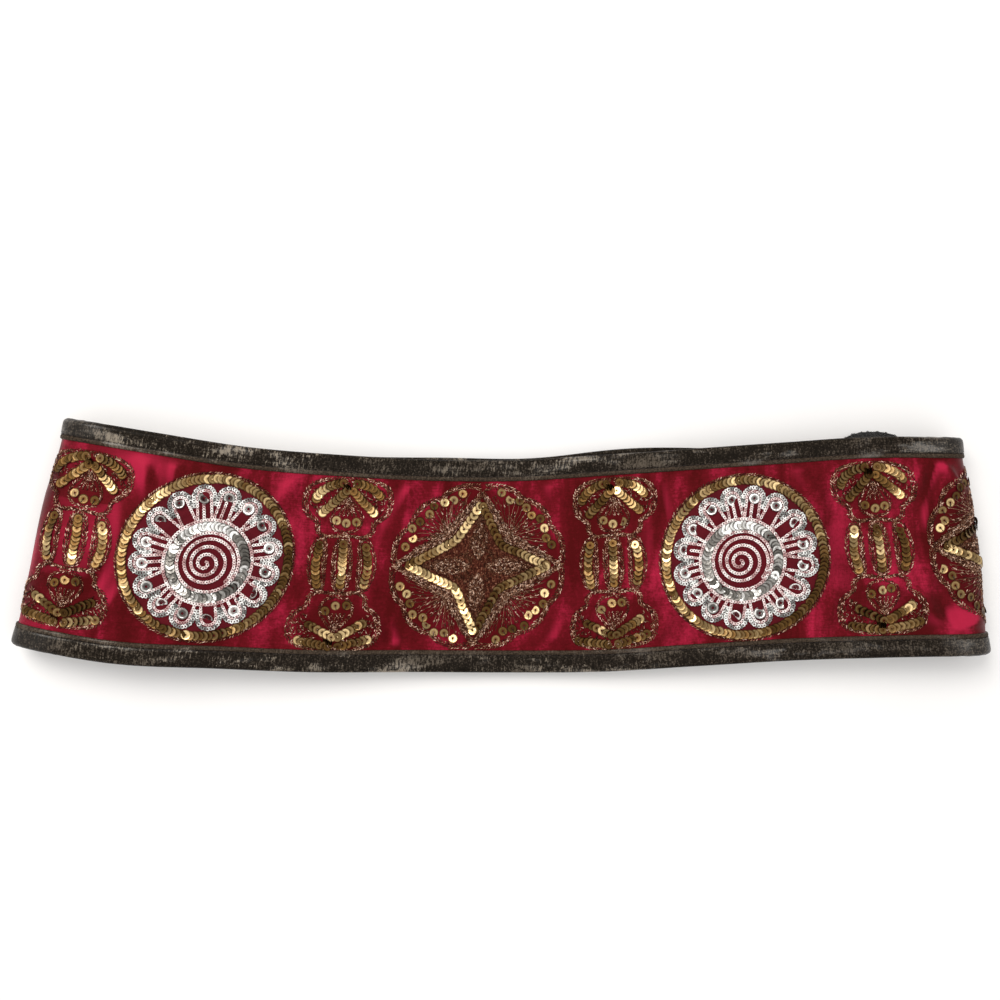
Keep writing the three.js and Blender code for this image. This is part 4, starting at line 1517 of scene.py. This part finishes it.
def column_bud(work, centre, tones, end, arcs, inner, singles):
    """One end of the upright motif: arcs over a V of sequins, over a veined heart"""
    flip = np.array([1.0, end])
    lean = seeded.uniform(-0.4, 0.4)
    for k, line in enumerate(arcs):
        line = line * flip
        ahead = np.gradient(line, axis=0)
        work.row(work.gold, centre, line, np.arctan2(ahead[:, 1], ahead[:, 0]), 0.4,
                 glints(len(line), tones[3 + k], chance=0.45))
    for k, (start, stop, count) in enumerate(inner):
        start, stop = np.array(start), np.array(stop) + (0, lean)
        t = np.arange(count) / (count - 1)
        line = (start + (stop - start) * t[:, None]) * flip
        run = (stop - start) * flip
        work.row(work.gold, centre, line, math.atan2(run[1], run[0]), 0.62,
                 glints(count, tones[5 + k]))
    for side in (-1, 1):
        mirror = flip * (side, 1)
        stretch = np.array([1.0 + 0.06 * seeded.uniform(-1, 1), 1.0])
        work.glitter(centre, soften(BUD_EDGE) * mirror * stretch, 0.24)
        inside = soften(BUD_EDGE) * (0.925, 0.985) + (0, 0.55)
        inside = inside[inside[:, 1] < 35.8]
        work.glitter(centre, inside * mirror * stretch, 0.22)
        work.glitter(centre, soften(BUD_HEART) * mirror, 0.22)
    for tip in BUD_VEINS:
        work.glitter(centre, np.linspace((0.0, 28.4), (tip, 20.4), 8) * flip, 0.2, size=0.7)
    spots = np.array(singles) * flip
    work.single(centre, spots + seeded.normal(0, 0.25, (3, 2)), 0.32, tone=(0.1, 1.0))
    many = 460
    spots = np.stack([seeded.uniform(-17, 17, many), seeded.uniform(19, 35.6, many)], 1)
    away = np.abs(spots[:, 0]) - (32.5 - spots[:, 1]) * 0.95
    keep = (away > 1.5) & (np.hypot(spots[:, 0] / 17, (spots[:, 1] - 27) / 9.5) < 1)
    work.fill(centre, (spots * flip)[keep], seeded.uniform(0, 3.1, keep.sum()), 0.2, (0.0, 1.0))
    if seeded.uniform() < 0.55:
        return
    knot = np.stack([np.linspace(-3.0, -0.6, 4), np.full(4, 32.6)], 1) * flip
    work.gold.lay(centre, knot, 0.5, 0.3, tilt=1.0, roll=seeded.normal(0, 0.2, 4), tone=1.2, size=0.7)


def embroider_column(work, centre):
    """Three bars of sequins between two buds, each under a V and an arc of sequin rows"""
    tones = seeded.uniform(0.6, 0.95, 7)
    column_bars(work, centre, tones)
    for bud in BUDS:
        column_bud(work, centre, tones, *bud)


class BELT_OT_medallions(bpy.types.Operator):
    """Makes the round patches with their petals, spiral cords and rings of sequins"""

    bl_idname = "belt.medallions"
    bl_label = "Medallions"

    def execute(self, context):
        stitch = context.scene.belt_sizes.stitch / MM
        width = context.scene.belt_sizes.sequin / MM
        sequin = sequin_template(width)
        cup = sequin_template(width * 1.3, cup=0.18)
        link = link_template(stitch)
        work = Embroidery(stitch)
        for name, (at, across, painted_side_shade, inner) in MEDALLIONS.items():
            make_patch(name.replace("medallion", "patch"), name, (at, across))
            embroider_medallion(work, (at, across), painted_side_shade, np.array(inner))
        for batch, name, template, finish, slot in (
                (work.gold, "gold_sequins", sequin, "gold", "sequin_gold"),
                (work.silver, "silver_sequins", sequin, "silver", "sequin_silver"),
                (work.cups, "silver_cups", cup, "silver", "sequin_silver"),
                (work.pale, "pale_chains", link, "pale_thread", "cord_silver"),
                (work.grey, "silver_scallops", link, "silver_cord", "cord_silver"),
                (work.bronze, "bronze_rims", stroke_template(1.55, 0.58, 0.42), "bronze_thread",
                 "thread_bronze")):
            batch.build("medallion_" + name, template, finish_for(finish), slot,
                        crisp=template is sequin)
        return {"FINISHED"}


def build_bronze_group(work, name, context):
    """Builds the batches that the stars and the columns both have"""
    sequin = sequin_template(context.scene.belt_sizes.sequin / MM)
    plait = stroke_template(work.stitch * 1.38, 0.58, 0.42)
    work.gold.build(name + "_sequins", sequin, finish_for("gold"), "sequin_gold", crisp=True)
    work.bronze.build(name + "_chains", plait, finish_for("bronze_thread"), "thread_bronze")
    work.strokes.build(name + "_stitches", sliver_template(1.35, 0.42), finish_for("bronze_thread"),
                       "thread_bronze")
    work.holds.build(name + "_holding_threads", stroke_template(2.1, 0.4, 0.3),
                     finish_for("dark_thread"), "thread_dark")
    if work.fans.points:
        work.fans.build(name + "_fine_threads", finish_for("bronze_thread"), "thread_bronze")


class BELT_OT_stars(bpy.types.Operator):
    """Makes the four-pointed stars and the quatrefoils round them"""

    bl_idname = "belt.stars"
    bl_label = "Stars"

    def execute(self, context):
        work = Embroidery(context.scene.belt_sizes.stitch / MM)
        centres = [(at, 0.1) for at in STARS]
        make_star_ground(centres)
        for centre in centres:
            embroider_star(work, centre)
        build_bronze_group(work, "star", context)
        return {"FINISHED"}


class BELT_OT_columns(bpy.types.Operator):
    """Makes the upright motifs between the stars and the medallions"""

    bl_idname = "belt.columns"
    bl_label = "Columns"

    def execute(self, context):
        work = Embroidery(context.scene.belt_sizes.stitch / MM)
        for at in COLUMNS:
            embroider_column(work, (at, -0.2))
        build_bronze_group(work, "column", context)
        return {"FINISHED"}


class BELT_OT_stage(bpy.types.Operator):
    """Makes the pale floor, the soft lights and the camera"""

    bl_idname = "belt.stage"
    bl_label = "Floor, lights and camera"

    def light(self, name, place, aim, size, power, tint=(1.0, 1.0, 1.0)):
        data = bpy.data.lights.new(name, "AREA")
        data.shape = "RECTANGLE"
        data.size, data.size_y = size
        data.energy = power
        data.color = tint
        made = bpy.data.objects.new(name, data)
        bpy.context.collection.objects.link(made)
        made.location = place
        away = made.location - type(made.location)(aim)
        made.rotation_euler = away.to_track_quat("Z", "Y").to_euler()

    def execute(self, context):
        bpy.ops.mesh.primitive_plane_add(size=8, location=(0, 0, 0))
        floor = bpy.context.object
        floor.name = "floor"
        finish = Finish("white_card", Specular_IOR_Level=0.15)
        mottle = finish.noise(finish.place(), scale=9, detail=4)
        finish.link(finish.ramp(mottle, (0.3, (0.80, 0.80, 0.81)), (0.7, (0.84, 0.84, 0.845))),
                    "Base Color")
        finish.link(0.75 + mottle * 0.1, "Roughness")
        floor.data.materials.append(finish.material)
        world = bpy.context.scene.world or bpy.data.worlds.new("soft_room")
        bpy.context.scene.world = world
        world.use_nodes = True
        background = world.node_tree.nodes["Background"]
        background.inputs["Color"].default_value = (1.0, 0.975, 0.94, 1)
        background.inputs["Strength"].default_value = 0.75
        self.light("window", (-0.5, 0.7, 1.25), (0, 0, 0), (0.8, 0.8), 15,
                   (1.0, 0.97, 0.93))
        self.light("ceiling", (0.5, -0.3, 1.6), (0, 0, 0), (1.6, 1.2), 6)
        context.scene.view_settings.view_transform = "Standard"
        camera_data = bpy.data.cameras.new("camera")
        camera_data.sensor_width = 36
        camera_data.lens = 43.33
        camera = bpy.data.objects.new("camera", camera_data)
        bpy.context.collection.objects.link(camera)
        camera.location = (-0.02695, 0.01987, 0.520)
        camera.rotation_euler = (0, -0.045, 0)
        context.scene.camera = camera
        return {"FINISHED"}


class BELT_PT_panel(bpy.types.Panel):
    """Lists the steps that make the belt"""

    bl_idname = "BELT_PT_panel"
    bl_label = "Sequin belt"
    bl_space_type = "VIEW_3D"
    bl_region_type = "UI"
    bl_category = "Sequin belt"

    def draw(self, context):
        layout = self.layout
        for name in BeltSizes.__annotations__:
            layout.prop(context.scene.belt_sizes, name)
        for name in BeltColours.__annotations__:
            layout.prop(context.scene.belt_colours, name)
        for operator in OPERATORS:
            layout.operator(operator.bl_idname)


OPERATORS = (BELT_OT_stage, BELT_OT_satin, BELT_OT_bindings, BELT_OT_closure, BELT_OT_medallions,
             BELT_OT_stars, BELT_OT_columns)
CLASSES = (BeltColours, BeltSizes, *OPERATORS, BELT_PT_panel)


def register():
    for made in CLASSES:
        bpy.utils.register_class(made)
    bpy.types.Scene.belt_colours = PointerProperty(type=BeltColours)
    bpy.types.Scene.belt_sizes = PointerProperty(type=BeltSizes)


def unregister():
    del bpy.types.Scene.belt_sizes
    del bpy.types.Scene.belt_colours
    for made in reversed(CLASSES):
        bpy.utils.unregister_class(made)


def main():
    register()
    bpy.ops.belt.stage()
    bpy.ops.belt.satin()
    bpy.ops.belt.bindings()
    bpy.ops.belt.closure()
    bpy.ops.belt.medallions()
    bpy.ops.belt.stars()
    bpy.ops.belt.columns()


if __name__ == "__main__":
    main()
